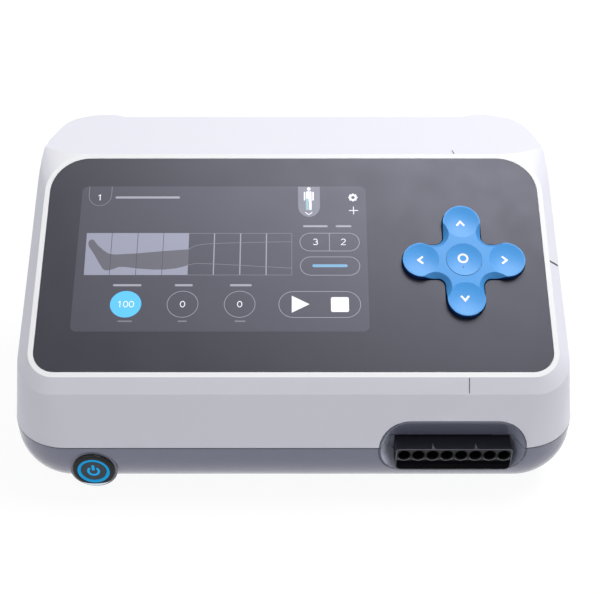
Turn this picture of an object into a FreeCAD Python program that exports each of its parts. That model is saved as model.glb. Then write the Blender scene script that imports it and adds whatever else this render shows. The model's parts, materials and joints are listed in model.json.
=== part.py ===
import FreeCAD, Part
import math
import os

import Sketcher
from FreeCAD import Placement, Rotation, Vector

# Compression therapy pump: a table-top air pump with a sloping glass control panel, a
# four-way key, a lit power switch and a recess with eight air ports for a garment plug.
# Row frame: +Z up, +Y to the back, origin at the middle of the footprint on the table.
# Lengths are millimetres, angles are degrees.

doc = FreeCAD.newDocument("compression_pump")
sheet = doc.addObject("Spreadsheet::Sheet", "dims")

DRIVING_SIZES = (
    # control panel, seen in its own plane
    ("panel_tilt", 29.0), ("panel_front_y", -77.6), ("panel_front_z", 82.1),
    ("glass_width", 264.6), ("glass_length", 125.0), ("glass_thick", 3.0),
    ("glass_front_radius", 11.2), ("glass_back_radius", 20.8), ("glass_gap", 0.15),
    ("rim_width", 2.83), ("deck_thick", 2.5),
    # bevel round the rim, as runs outwards for one drop
    ("bevel_drop", 4.9), ("bevel_side_run", 5.6), ("bevel_front_run", 7.28),
    ("bevel_back_run", 20.0), ("bevel_reach", 26.0), ("bevel_radius_run", 5.67),
    ("back_fall", 4.0),
    # housing walls: outline at the seam and outline just above the panel plane
    ("seam_height", 41.0), ("seam_reveal", 0.4), ("wall_thick", 2.5),
    ("seam_half_width", 149.0), ("seam_front", 90.2), ("seam_back", 92.0),
    ("seam_front_radius", 31.0), ("seam_back_radius", 34.0), ("seam_taper_start", 20.0),
    ("crown_rise", 1.0), ("crown_half_width", 140.2), ("crown_front", 5.3),
    ("crown_back", 189.0), ("crown_front_radius", 17.6), ("crown_back_radius", 21.0),
    ("crown_taper_start", 114.0), ("taper_radius", 210.0),
    # rear recess
    ("recess_depth", 3.0), ("recess_lean", 2.06), ("recess_half_width", 99.0),
    ("recess_flare", 12.0),
    # base
    ("base_bottom", 4.0), ("base_sweep", 30.0), ("lip_height", 2.6), ("lip_thick", 1.3),
    ("lip_gap", 0.7), ("lip_root", 2.0), ("lip_overlap", 0.5),
    ("foot_radius", 8.0), ("foot_inset", 44.0), ("foot_front_y", -50.0), ("foot_back_y", 52.0),
    ("foot_sink", 1.0), ("foot_gap", 0.1), ("foot_edge", 1.0),
    ("boss_radius", 4.5), ("boss_inset", 25.0), ("boss_front_y", -56.0), ("boss_back_y", 30.0),
    ("boss_top", 62.0), ("gusset_thick", 2.0), ("gusset_bottom", 46.0),
    ("column_sink", 1.0), ("column_gap", 0.1),
    ("screw_radius", 1.5), ("screw_gap", 0.05), ("screw_head_radius", 2.8),
    ("screw_head_high", 2.4), ("screw_seat", 26.0), ("screw_length", 24.0),
    ("screw_clearance", 0.2), ("counterbore_gap", 0.5),
    # display behind the glass
    ("display_x", -37.6), ("display_v", 64.5), ("display_width", 165.0),
    ("display_length", 100.0), ("display_thick", 5.8), ("display_gap", 0.3),
    ("bracket_thick", 1.2), ("bracket_tab", 8.0), ("post_radius", 3.2),
    ("main_board_width", 140.0), ("main_board_length", 84.0), ("board_thick", 1.6),
    ("main_board_gap", 8.0), ("bracket_window_x", 24.0), ("bracket_window_v", 26.0),
    ("bracket_corner", 4.0), ("display_corner", 1.5), ("board_corner", 2.0),
    ("board_hole_inset", 6.0), ("spacer_radius", 2.5),
    # four-way key and its centre button
    ("key_x", 89.5), ("key_v", 61.5), ("lobe_offset", 22.25), ("lobe_radius", 9.85),
    ("key_fillet", 4.5), ("key_rise", 3.3), ("key_gap", 0.6), ("flange_reach", 1.2),
    ("flange_top", 4.2), ("flange_bottom", 5.4), ("dish_radius", 9.2), ("dish_depth", 1.2),
    ("scoop_offset", 15.5), ("scoop_top_radius", 8.3), ("scoop_low_radius", 5.2),
    ("deck_hole_radius", 36.0),
    ("ok_radius", 9.3), ("ok_gap", 0.15), ("ok_flange_reach", 1.1), ("ok_flange_thick", 1.2),
    ("ok_stop", 3.3), ("ok_rise", 3.5), ("ok_stem_radius", 2.0), ("ok_stem_end", 9.7),
    ("ok_play", 0.15),
    ("pivot_depth", 8.2), ("pivot_ring_inner", 11.2), ("pivot_ring_outer", 13.4),
    ("pivot_ring_thick", 2.2), ("pivot_pin_radius", 1.0), ("pivot_pin_gap", 0.05),
    ("pivot_pin_root", 0.8), ("pivot_lug_x", 15.2), ("pivot_lug_thick", 2.4),
    ("pivot_lug_wide", 4.2), ("pivot_lug_wall", 0.7),
    ("plunger_radius", 1.8), ("plunger_end", 9.9),
    ("key_board_depth", 13.0), ("key_board_size", 76.0), ("key_board_post", 32.0),
    ("switch_size", 6.0), ("switch_body_high", 1.8), ("switch_cap_top", 10.6),
    ("switch_cap_radius", 1.75), ("key_board_corner", 3.0), ("key_screw_length", 8.0),
    # power switch on the front of the base
    ("power_inset", 44.0), ("power_z", 25.5), ("power_face", 92.0), ("bezel_radius", 11.25),
    ("bezel_face_radius", 10.0), ("bezel_high", 1.6), ("bezel_hole_radius", 8.75),
    ("bezel_edge_high", 0.6), ("bezel_edge_run", 0.5), ("bezel_edge_drop", 0.3),
    ("power_boss_radius", 12.4), ("power_boss_long", 11.9), ("ring_outer_radius", 8.65),
    ("ring_inner_radius", 6.95), ("ring_deep", 6.0), ("ring_recess", 0.25),
    ("cap_radius", 6.75), ("cap_recess", 0.3), ("cap_edge", 0.3), ("cap_deep", 9.0),
    ("cap_neck", 1.5), ("cap_skirt", 1.0), ("cap_gap", 0.15), ("power_travel", 1.5),
    ("power_room", 0.5), ("barrel_gap", 0.1), ("switch_barrel_radius", 9.4),
    ("switch_barrel_end", 62.0), ("barrel_tail_step", 2.0), ("barrel_tail_long", 6.0),
    ("nut_radius", 12.0), ("nut_thick", 3.0), ("nut_gap", 0.05),
    # garment plug recess and port block
    ("port_inset", 65.4), ("port_pitch", 7.42), ("port_radius", 3.1), ("port_z", 35.65),
    ("scoop_shift", 1.1), ("scoop_z", 40.0), ("scoop_high", 36.0), ("scoop_flare", 4.85),
    ("scoop_floor_margin", 1.87), ("scoop_floor_high", 20.0), ("scoop_floor_radius", 5.0),
    ("scoop_depth", 9.9), ("scoop_overrun", 2.5), ("liner_thick", 1.0), ("liner_gap", 0.1),
    ("liner_window_gap", 0.15), ("liner_window_rise", 1.2),
    ("port_front", 90.0), ("tile_width", 7.3), ("tile_back", 66.0), ("bore_deep", 17.0),
    ("tail_radius", 2.4), ("tail_length", 6.0), ("tail_hole_radius", 1.4), ("mouth_lip", 0.35),
    ("port_cover_thick", 0.6), ("port_side_thick", 0.65), ("port_slab_bottom", 25.0),
    ("port_slab_back", 60.0), ("port_clear", 0.05), ("port_bevel_high", 2.9),
    ("port_bevel_deep", 1.2), ("port_corner", 3.2), ("slab_edge", 0.3), ("cover_edge", 0.8),
    ("rib_half", 1.1), ("rib_long", 4.2), ("rib_high", 0.5),
    ("port_rest_offset", 20.0), ("port_rest_width", 6.0), ("port_rest_deep", 12.0),
    ("port_rest_inset", 2.0),
    ("tube_wall", 0.95), ("tube_gap", 0.05), ("tail_space", 0.3),
    ("manifold_front", 56.0), ("manifold_deep", 30.0), ("manifold_bottom", 27.0),
    ("manifold_high", 15.0), ("valve_radius", 5.8), ("valve_high", 20.0), ("valve_row", 15.0),
    ("valve_tip_radius", 2.4), ("valve_tip_high", 3.0), ("leg_width", 8.0), ("leg_inset", 4.0),
    ("leg_offset", 5.0),
    # air pump
    ("pump_inset", 83.0), ("pump_y", 12.0), ("pump_plate_width", 92.0), ("pump_plate_deep", 62.0),
    ("pump_plate_thick", 2.0), ("pump_mount_radius", 5.0), ("pump_mount_high", 8.0),
    ("pump_mount_inset", 8.0), ("motor_radius", 23.0), ("motor_length", 52.0),
    ("pump_mount_waist", 1.4), ("pump_mount_slope", 0.8), ("motor_inset", 4.0),
    ("motor_tail_radius", 8.0), ("motor_tail_long", 3.0), ("motor_gap", 0.05),
    ("pump_head_width", 26.0), ("pump_head_deep", 48.0), ("pump_head_high", 54.0),
    ("head_slot_width", 2.2), ("head_slot_pitch", 4.4), ("head_slot_deep", 9.0),
    ("head_slot_inset", 3.0), ("pump_saddle_high", 3.0), ("saddle_width", 8.0),
    ("saddle_deep", 28.0), ("saddle_inset", 6.0),
    ("spigot_radius", 2.4), ("spigot_length", 8.0), ("spigot_z", 52.0),
    ("hose_radius", 4.0), ("hose_mid_x", 16.0),
    # mains side
    ("supply_inset", 79.0), ("supply_y", 34.0), ("supply_width", 84.0), ("supply_deep", 46.0),
    ("standoff_high", 6.0), ("standoff_radius", 3.0), ("standoff_inset", 4.0),
    ("transformer_high", 24.0), ("heat_sink_high", 28.0), ("choke_high", 16.0),
    ("reservoir_radius", 8.0), ("reservoir_high", 24.0), ("smoothing_radius", 5.0),
    ("smoothing_high", 18.0), ("solder_sink", 0.1),
    ("inlet_inset", 79.0), ("inlet_z", 24.0), ("inlet_seat_y", 89.0), ("inlet_boss_margin", 2.0),
    ("inlet_boss_low", 1.5), ("inlet_boss_front", 76.0), ("inlet_gap", 0.2),
    ("inlet_flange_width", 50.0),
    ("inlet_flange_high", 24.0), ("inlet_flange_thick", 2.5), ("inlet_body_width", 27.0),
    ("inlet_body_high", 19.6), ("inlet_body_deep", 22.0), ("inlet_cavity_width", 24.0),
    ("inlet_cavity_high", 16.4), ("inlet_cavity_deep", 17.0), ("inlet_pin_wide", 4.0),
    ("inlet_pin_thick", 2.0), ("inlet_pin_pitch", 7.0), ("inlet_pin_drop", 2.0),
    ("inlet_corner", 3.0), ("inlet_body_corner", 2.0), ("inlet_nick", 4.0),
    ("inlet_pin_short", 4.0), ("inlet_pin_gap", 0.05),
    # cooling fan
    ("fan_x", -50.0), ("fan_z", 88.0), ("fan_back_y", 81.8), ("fan_size", 40.0),
    ("fan_pad_margin", 1.0), ("fan_pad_deep", 4.2), ("fan_screw_seat", 86.4),
    ("fan_head_high", 1.6), ("fan_deep", 10.0), ("fan_corner", 3.0), ("strut_deep", 1.5),
    ("strut_width", 3.0), ("strut_root", 0.5), ("shaft_short", 2.0), ("hub_cap", 1.0),
    ("blade_edge", 0.3), ("blade_lean", 1.6), ("blade_root", 0.5),
    ("fan_bore_radius", 19.0), ("fan_tip_radius", 18.2), ("fan_hub_radius", 9.0),
    ("fan_shaft_radius", 1.5), ("fan_shaft_gap", 0.06), ("fan_hole_pitch", 32.0),
    ("fan_blade_thick", 1.2), ("fan_end_gap", 0.6),
    ("vent_slot_high", 3.0), ("vent_slot_pitch", 6.0), ("vent_slot_deep", 10.0),
    ("vent_short", 6.0), ("vent_long", 2.0), ("intake_length", 28.0),
)


class Size:
    """A size with its value and the sheet formula that it comes from."""

    def __init__(self, value, formula):
        self.value = float(value)
        self.formula = formula

    def __add__(self, other):
        other = as_size(other)
        return Size(self.value + other.value, "(%s + %s)" % (self.formula, other.formula))

    def __sub__(self, other):
        other = as_size(other)
        return Size(self.value - other.value, "(%s - %s)" % (self.formula, other.formula))

    def __mul__(self, other):
        other = as_size(other)
        return Size(self.value * other.value, "(%s * %s)" % (self.formula, other.formula))

    def __truediv__(self, other):
        other = as_size(other)
        return Size(self.value / other.value, "(%s / %s)" % (self.formula, other.formula))

    def __neg__(self):
        return Size(-self.value, "(0 - %s)" % self.formula)

    def __radd__(self, other):
        return as_size(other) + self

    def __rsub__(self, other):
        return as_size(other) - self

    def __rmul__(self, other):
        return as_size(other) * self


def as_size(item):
    """A plain number as a Size; a Size stays as it is."""
    if isinstance(item, Size):
        return item
    if item < 0:
        return Size(item, "(0 - %.9g)" % -item)
    return Size(item, "%.9g" % item)


def cosine(angle):
    return Size(math.cos(math.radians(angle.value)), "cos(%s)" % angle.formula)


def sine(angle):
    return Size(math.sin(math.radians(angle.value)), "sin(%s)" % angle.formula)


class Sizes:
    """The sheet's cells by name, each as a Size."""


def fill_sheet():
    sizes = Sizes()
    for row, (name, value) in enumerate(DRIVING_SIZES, start=1):
        cell = "A%d" % row
        sheet.set(cell, "%.9g" % value)
        sheet.setAlias(cell, name)
        setattr(sizes, name, Size(value, "dims.%s" % name))
    doc.recompute()
    return sizes


S = fill_sheet()
NODES = []


# ---------------------------------------------------------------- small tools

def bind(item, prop, size):
    item.setExpression(prop, as_size(size).formula)


def place(item, x=0, y=0, z=0, turn=0):
    """Put an object at x, y, z, turned about X by an angle."""
    x, y, z, turn = as_size(x), as_size(y), as_size(z), as_size(turn)
    item.Placement = Placement(Vector(x.value, y.value, z.value),
                               Rotation(Vector(1, 0, 0), turn.value))
    bind(item, ".Placement.Base.x", x)
    bind(item, ".Placement.Base.y", y)
    bind(item, ".Placement.Base.z", z)
    bind(item, ".Placement.Rotation.Angle", turn)
    return item


def node(item, name):
    """Make an object a sub-part with a name of its own."""
    item.Label = name
    NODES.append(item)
    return item


def box(name, low, size):
    item = doc.addObject("Part::Box", name)
    for prop, length in zip(("Length", "Width", "Height"), size):
        length = as_size(length)
        setattr(item, prop, length.value)
        bind(item, prop, length)
    for letter, start in zip("xyz", low):
        bind(item, ".Placement.Base.%s" % letter, start)
    return item


def cylinder(name, radius, height, x=0, y=0, z=0, turn=0):
    item = doc.addObject("Part::Cylinder", name)
    bind(item, "Radius", radius)
    bind(item, "Height", height)
    return place(item, x, y, z, turn)


def cylinder_along_x(name, radius, height, x, y, z):
    item = doc.addObject("Part::Cylinder", name)
    bind(item, "Radius", radius)
    bind(item, "Height", height)
    item.Placement = Placement(Vector(), Rotation(Vector(0, 1, 0), 90))
    for letter, start in zip("xyz", (x, y, z)):
        bind(item, ".Placement.Base.%s" % letter, start)
    return item


def cone(name, low_radius, high_radius, height, x=0, y=0, z=0, turn=0):
    item = doc.addObject("Part::Cone", name)
    bind(item, "Radius1", low_radius)
    bind(item, "Radius2", high_radius)
    bind(item, "Height", height)
    return place(item, x, y, z, turn)


def fuse(name, *shapes):
    item = doc.addObject("Part::MultiFuse", name)
    item.Shapes = list(shapes)
    item.Refine = True
    return item


def common(name, *shapes):
    item = doc.addObject("Part::MultiCommon", name)
    item.Shapes = list(shapes)
    return item


def cut(name, base, *tools):
    item = doc.addObject("Part::Cut", name)
    item.Base = base
    item.Tool = tools[0] if len(tools) == 1 else fuse(name + "_tools", *tools)
    return item


def group(name, *shapes):
    """Separate solids that share one sub-part."""
    item = doc.addObject("Part::Compound", name)
    item.Links = list(shapes)
    return item


def extrude(name, sketch, length, backwards=False):
    item = doc.addObject("Part::Extrusion", name)
    item.Base = sketch
    item.DirMode = "Normal"
    item.Solid = True
    item.Reversed = backwards
    bind(item, "LengthFwd", length)
    return item


def loft(name, *sections):
    item = doc.addObject("Part::Loft", name)
    item.Sections = list(sections)
    item.Solid = True
    item.Ruled = True
    return item


# ---------------------------------------------------------------- sketches

def free_sketch(name, x=0, y=0, z=0, turn=0):
    return place(doc.addObject("Sketcher::SketchObject", name), x, y, z, turn)


def body_sketch(body, name, role="XY_Plane", offset=0):
    """A sketch on one of the body's own origin planes, moved along its normal."""
    sketch = body.newObject("Sketcher::SketchObject", name)
    plane = [item for item in body.Origin.OriginFeatures if item.Role == role][0]
    sketch.AttachmentSupport = [(plane, "")]
    sketch.MapMode = "FlatFace"
    sketch.AttachmentOffset = Placement(Vector(0, 0, as_size(offset).value), Rotation())
    bind(sketch, ".AttachmentOffset.Base.z", offset)
    return sketch


def set_datum(sketch, kind, geometry, point, size):
    """Hold a point of the sketch at a distance from its origin."""
    size = as_size(size)
    index = sketch.addConstraint(
        Sketcher.Constraint(kind, -1, 1, geometry, point, size.value))
    bind(sketch, "Constraints[%d]" % index, size)


def set_radius(sketch, geometry, size):
    size = as_size(size)
    index = sketch.addConstraint(Sketcher.Constraint("Radius", geometry, size.value))
    bind(sketch, "Constraints[%d]" % index, size)


def add_circle(sketch, x, y, radius):
    x, y, radius = as_size(x), as_size(y), as_size(radius)
    index = sketch.addGeometry(
        Part.Circle(Vector(x.value, y.value, 0), Vector(0, 0, 1), radius.value))
    set_datum(sketch, "DistanceX", index, 3, x)
    set_datum(sketch, "DistanceY", index, 3, y)
    set_radius(sketch, index, radius)


def add_polygon(sketch, points):
    """A closed outline with sharp corners."""
    points = [(as_size(x), as_size(y)) for x, y in points]
    corners = [Vector(x.value, y.value, 0) for x, y in points]
    ends = corners[1:] + corners[:1]
    lines = [sketch.addGeometry(Part.LineSegment(a, b)) for a, b in zip(corners, ends)]
    for line, following in zip(lines, lines[1:] + lines[:1]):
        sketch.addConstraint(Sketcher.Constraint("Coincident", line, 2, following, 1))
    for line, (x, y) in zip(lines, points):
        set_datum(sketch, "DistanceX", line, 1, x)
        set_datum(sketch, "DistanceY", line, 1, y)


def add_belt(sketch, arcs):
    """A closed outline of arcs joined by tangent lines.

    Each arc is x, y, radius, angle where it begins, and turn: positive turns are
    outside corners, negative turns are inside corners.
    """
    made = []
    for x, y, radius, begin, turn in arcs:
        x, y, radius = as_size(x), as_size(y), as_size(radius)
        low, high = sorted((math.radians(begin), math.radians(begin + turn)))
        circle = Part.Circle(Vector(x.value, y.value, 0), Vector(0, 0, 1), radius.value)
        arc = Part.ArcOfCircle(circle, low, high)
        index = sketch.addGeometry(arc)
        first, last = (1, 2) if turn > 0 else (2, 1)
        ends = {1: arc.StartPoint, 2: arc.EndPoint}
        made.append((index, first, last, ends[first], ends[last]))
        set_datum(sketch, "DistanceX", index, 3, x)
        set_datum(sketch, "DistanceY", index, 3, y)
        set_radius(sketch, index, radius)
    for arc, following in zip(made, made[1:] + made[:1]):
        line = sketch.addGeometry(Part.LineSegment(arc[4], following[3]))
        sketch.addConstraint(Sketcher.Constraint("Tangent", arc[0], arc[2], line, 1))
        sketch.addConstraint(Sketcher.Constraint("Tangent", line, 2, following[0], following[1]))


def add_rounded_box(sketch, left, right, low, high, low_radius, high_radius):
    add_belt(sketch, (
        (right - low_radius, low + low_radius, low_radius, -90, 90),
        (right - high_radius, high - high_radius, high_radius, 0, 90),
        (left + high_radius, high - high_radius, high_radius, 90, 90),
        (left + low_radius, low + low_radius, low_radius, 180, 90)))


def add_body_outline(sketch, half, front, back, taper_start, front_radius, side_radius,
                     back_radius):
    """Plan outline of the case: straight front, sides that draw in towards the back."""
    centre_x = half.value - side_radius.value
    turn_y = back.value - back_radius.value
    turn_x = centre_x + math.sqrt((side_radius.value - back_radius.value) ** 2
                                  - (turn_y - taper_start.value) ** 2)
    taper = math.atan2(turn_y - taper_start.value, turn_x - centre_x)
    corner_x = half.value - front_radius.value
    corner_y = front.value + front_radius.value
    up = Vector(0, 0, 1)

    def arc(x, y, radius, low, high):
        circle = Part.Circle(Vector(x, y, 0), up, radius.value)
        return sketch.addGeometry(Part.ArcOfCircle(circle, low, high))

    def line(x1, y1, x2, y2):
        return sketch.addGeometry(Part.LineSegment(Vector(x1, y1, 0), Vector(x2, y2, 0)))

    quarter = math.pi / 2
    front_line = line(-corner_x, front.value, corner_x, front.value)
    right_front = arc(corner_x, corner_y, front_radius, -quarter, 0)
    right_side = line(half.value, corner_y, half.value, taper_start.value)
    right_taper = arc(centre_x, taper_start.value, side_radius, 0, taper)
    right_back = arc(turn_x, turn_y, back_radius, taper, quarter)
    back_line = line(turn_x, back.value, -turn_x, back.value)
    left_back = arc(-turn_x, turn_y, back_radius, quarter, math.pi - taper)
    left_taper = arc(-centre_x, taper_start.value, side_radius, math.pi - taper, math.pi)
    left_side = line(-half.value, taper_start.value, -half.value, corner_y)
    left_front = arc(-corner_x, corner_y, front_radius, math.pi, 3 * quarter)
    chain = (front_line, right_front, right_side, right_taper, right_back, back_line,
             left_back, left_taper, left_side, left_front)
    for piece, following in zip(chain, chain[1:] + chain[:1]):
        sketch.addConstraint(Sketcher.Constraint("Tangent", piece, 2, following, 1))
    for level in (front_line, back_line):
        sketch.addConstraint(Sketcher.Constraint("Horizontal", level))
    for upright in (right_side, left_side):
        sketch.addConstraint(Sketcher.Constraint("Vertical", upright))
    set_datum(sketch, "DistanceY", front_line, 1, front)
    set_datum(sketch, "DistanceY", back_line, 1, back)
    set_datum(sketch, "DistanceX", right_side, 1, half)
    set_datum(sketch, "DistanceX", left_side, 1, -half)
    set_datum(sketch, "DistanceY", right_side, 2, taper_start)
    set_datum(sketch, "DistanceY", left_side, 1, taper_start)
    for corner in (right_front, left_front):
        set_radius(sketch, corner, front_radius)
    for corner in (right_taper, left_taper):
        set_radius(sketch, corner, side_radius)
    for corner in (right_back, left_back):
        set_radius(sketch, corner, back_radius)


# ---------------------------------------------------------------- part design features

def new_body(name):
    return doc.addObject("PartDesign::Body", name)


def add_pad(body, name, sketch, length, backwards=False):
    feature = body.newObject("PartDesign::Pad", name)
    feature.Profile = sketch
    feature.Reversed = backwards
    bind(feature, "Length", length)
    sketch.Visibility = False
    return feature


def add_pocket(body, name, sketch, depth, backwards=False):
    feature = body.newObject("PartDesign::Pocket", name)
    feature.Profile = sketch
    feature.Reversed = backwards
    bind(feature, "Length", depth)
    return feature


def add_revolution(body, name, sketch):
    feature = body.newObject("PartDesign::Revolution", name)
    feature.Profile = sketch
    feature.ReferenceAxis = (sketch, ["V_Axis"])
    feature.Angle = 360
    return feature


def add_groove(body, name, sketch, axis):
    feature = body.newObject("PartDesign::Groove", name)
    feature.Profile = sketch
    feature.ReferenceAxis = (sketch, [axis])
    feature.Angle = 360
    return feature


def add_polar_copies(body, name, features, count):
    pattern = body.newObject("PartDesign::PolarPattern", name)
    pattern.Originals = list(features)
    axis = [item for item in body.Origin.OriginFeatures if item.Role == "Z_Axis"][0]
    pattern.Axis = (axis, [""])
    pattern.Angle = 360
    pattern.Occurrences = count
    body.Tip = pattern
    return pattern


def revolved_body(name, points):
    """A turned piece: its half profile, as radius and height, spun about Z."""
    body = new_body(name)
    sketch = body_sketch(body, name + "_profile", "XZ_Plane")
    add_polygon(sketch, points)
    add_revolution(body, name + "_turned", sketch)
    return body


# ---------------------------------------------------------------- places used more than once

PANEL_COS = cosine(S.panel_tilt)
PANEL_SIN = sine(S.panel_tilt)


def on_panel(item, x=0, along=0, above=0):
    """Seat an object on the panel plane: x across, along up the slope, above its surface."""
    along, above = as_size(along), as_size(above)
    y = S.panel_front_y + along * PANEL_COS - above * PANEL_SIN
    z = S.panel_front_z + along * PANEL_SIN + above * PANEL_COS
    return place(item, x, y, z, S.panel_tilt)


def on_key(item, above=0):
    return on_panel(item, S.key_x, S.key_v, above)


def on_power(item):
    """Local Z points out of the front, from the plane of the power switch's face."""
    return place(item, POWER_X, -S.power_face, S.power_z, 90)


FRONT_LENGTH = S.glass_length + S.rim_width
# Places along the width, each measured in from the side wall at the seam.
FOOT_X = S.seam_half_width - S.foot_inset
BOSS_X = S.seam_half_width - S.boss_inset
POWER_X = S.power_inset - S.seam_half_width
PORT_X = S.seam_half_width - S.port_inset
SUPPLY_X = S.seam_half_width - S.supply_inset
INLET_X = S.seam_half_width - S.inlet_inset
PUMP_X = S.pump_inset - S.seam_half_width
PORT_COUNT = 8
PORT_FIRST_X = PORT_X - S.port_pitch * (PORT_COUNT - 1) / 2
PORT_BLOCK_HALF = S.port_pitch * PORT_COUNT / 2 + S.port_side_thick
TILE_BOTTOM = S.port_z - S.tile_width / 2
TILE_TOP = S.port_z + S.tile_width / 2
FLOOR_TOP = S.base_bottom + S.wall_thick


# ---------------------------------------------------------------- case forms

def wall_form(name, inset):
    """The drafted outer walls, from the seam up to just above the panel plane."""
    seam = free_sketch(name + "_seam", z=S.seam_height)
    add_body_outline(seam, S.seam_half_width - inset, -S.seam_front + inset,
                     S.seam_back - inset, S.seam_taper_start, S.seam_front_radius - inset,
                     S.taper_radius - inset, S.seam_back_radius - inset)
    crown = doc.addObject("Sketcher::SketchObject", name + "_crown")
    on_panel(crown, 0, 0, S.crown_rise)
    add_body_outline(crown, S.crown_half_width - inset, -S.crown_front + inset,
                     S.crown_back - inset, S.crown_taper_start, S.crown_front_radius - inset,
                     S.taper_radius - inset, S.crown_back_radius - inset)
    return loft(name, seam, crown)


def plateau_form(name, inset, drop):
    """Everything under the panel plane and inside the bevels that fall away from its rim."""
    half = S.glass_width / 2 + S.rim_width - inset
    low = inset - S.rim_width
    high = FRONT_LENGTH - inset
    low_radius = S.glass_front_radius + S.rim_width - inset
    high_radius = S.glass_back_radius + S.rim_width - inset
    rim = doc.addObject("Sketcher::SketchObject", name + "_rim")
    on_panel(rim, 0, 0, -drop)
    add_rounded_box(rim, -half, half, low, high, low_radius, high_radius)
    reach = S.bevel_reach
    foot = doc.addObject("Sketcher::SketchObject", name + "_foot")
    on_panel(foot, 0, 0, -drop - S.bevel_drop * reach)
    foot_half = half + S.bevel_side_run * reach
    add_rounded_box(foot, -foot_half, foot_half, low - S.bevel_front_run * reach,
                    high + S.bevel_back_run * reach,
                    low_radius + S.bevel_radius_run * reach, high_radius)
    return loft(name, rim, foot)


def back_form(name, drop):
    """Everything under the top surface behind the panel, which falls slightly to the back."""
    top = doc.addObject("Sketcher::SketchObject", name + "_top")
    y = S.panel_front_y + FRONT_LENGTH * PANEL_COS
    z = S.panel_front_z + FRONT_LENGTH * PANEL_SIN - drop
    place(top, 0, y, z, -S.back_fall)
    reach = S.seam_half_width * 2
    add_polygon(top, ((-reach, -reach), (reach, -reach), (reach, reach), (-reach, reach)))
    return extrude(name, top, reach, True)


def recess_form(name, inset):
    """The shallow bay in the back of the case: flared ends, leaning as the rear wall does."""
    plan = free_sketch(name + "_plan", 0, S.seam_back - S.recess_depth - inset, S.seam_height,
                       S.recess_lean)
    half = S.recess_half_width + inset
    wide = half + S.recess_flare
    deep = S.recess_depth + inset + S.wall_thick
    add_polygon(plan, ((-half, as_size(0)), (half, as_size(0)), (wide, deep), (-wide, deep)))
    bay = extrude(name, plan, S.seam_height * 4)
    bind(bay, "LengthRev", S.seam_height)
    return bay


def upper_form(name, inset, panel_drop, back_drop, recess_inset):
    solid = common(name + "_solid", wall_form(name + "_walls", inset),
                   plateau_form(name + "_plateau", inset, panel_drop),
                   back_form(name + "_back", back_drop))
    return cut(name, solid, recess_form(name + "_recess", recess_inset))


def base_form(name, inset, top, recess_inset):
    """The lower tub: upright at the seam, swept in to a flat bottom."""
    bottom = S.base_bottom + inset
    outline = free_sketch(name + "_outline", z=bottom)
    add_body_outline(outline, S.seam_half_width - inset, -S.seam_front + inset,
                     S.seam_back - inset, S.seam_taper_start, S.seam_front_radius - inset,
                     S.taper_radius - inset, S.seam_back_radius - inset)
    block = extrude(name + "_block", outline, top - bottom)
    doc.recompute()
    tub = doc.addObject("Part::Fillet", name + "_tub")
    tub.Base = block
    sweep = S.base_sweep.value - as_size(inset).value
    level = bottom.value
    tub.Edges = [(number, sweep, sweep)
                 for number, edge in enumerate(block.Shape.Edges, start=1)
                 if abs(edge.BoundBox.ZMax - level) < 1e-6]
    return cut(name, tub, recess_form(name + "_recess", recess_inset))


def scoop_form(name, grow, depth):
    """The flared hollow round the air ports, grown outwards for the liner that forms it."""
    slope_x = S.scoop_flare / S.scoop_depth
    slope_z = (S.scoop_high - S.scoop_floor_high) / 2 / S.scoop_depth
    floor_x = PORT_BLOCK_HALF + S.scoop_floor_margin + grow
    floor_z = S.scoop_floor_high / 2 + grow
    half_x = floor_x + S.scoop_flare + slope_x * S.scoop_overrun
    half_z = S.scoop_high / 2 + slope_z * S.scoop_overrun + grow
    middle = PORT_X - S.scoop_shift
    mouth = free_sketch(name + "_mouth", middle, -S.port_front - S.scoop_overrun, S.scoop_z, 90)
    mouth_radius = half_z - 0.1
    add_rounded_box(mouth, -half_x, half_x, -half_z, half_z, mouth_radius, mouth_radius)
    floor = free_sketch(name + "_floor", middle, -S.port_front + depth, S.scoop_z, 90)
    floor_radius = S.scoop_floor_radius + grow
    add_rounded_box(floor, -floor_x, floor_x, -floor_z, floor_z, floor_radius, floor_radius)
    return loft(name, mouth, floor)


def block_window(name):
    """The way through for the block of ports, with a little room all round."""
    gap = S.liner_window_gap
    back = S.scoop_depth + S.liner_thick * 2
    outline = free_sketch(name + "_outline", PORT_X, -S.port_front + back, TILE_TOP, 90)
    half = PORT_BLOCK_HALF + gap
    add_rounded_box(outline, -half, half, S.port_slab_bottom - TILE_TOP - gap,
                    S.liner_window_rise, S.port_corner + gap, S.cover_edge)
    return extrude(name, outline, back + S.scoop_overrun * 2)


def corner_points():
    return [(x, y) for x in (-BOSS_X, BOSS_X) for y in (S.boss_front_y, S.boss_back_y)]


def foot_points():
    return [(x, y) for x in (-FOOT_X, FOOT_X) for y in (S.foot_front_y, S.foot_back_y)]


def key_post_points():
    return [(S.key_x + x, S.key_v + y) for x in (-S.key_board_post, S.key_board_post)
            for y in (-S.key_board_post, S.key_board_post)]


def display_post_points():
    half_x = S.display_width / 2 + S.bracket_tab / 2
    half_v = S.display_length / 2 - S.bracket_tab
    return [(S.display_x + x, S.display_v + v) for x in (-half_x, half_x)
            for v in (-half_v, half_v)]


# ---------------------------------------------------------------- case parts

def panel_prism(name, x, along, above, half_x, half_v, radius, high):
    """A rounded block on the panel plane, for windows and the glass."""
    sketch = doc.addObject("Sketcher::SketchObject", name + "_outline")
    on_panel(sketch, x, along, above)
    add_rounded_box(sketch, -half_x, half_x, -half_v, half_v, radius, radius)
    return extrude(name, sketch, high)


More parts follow.
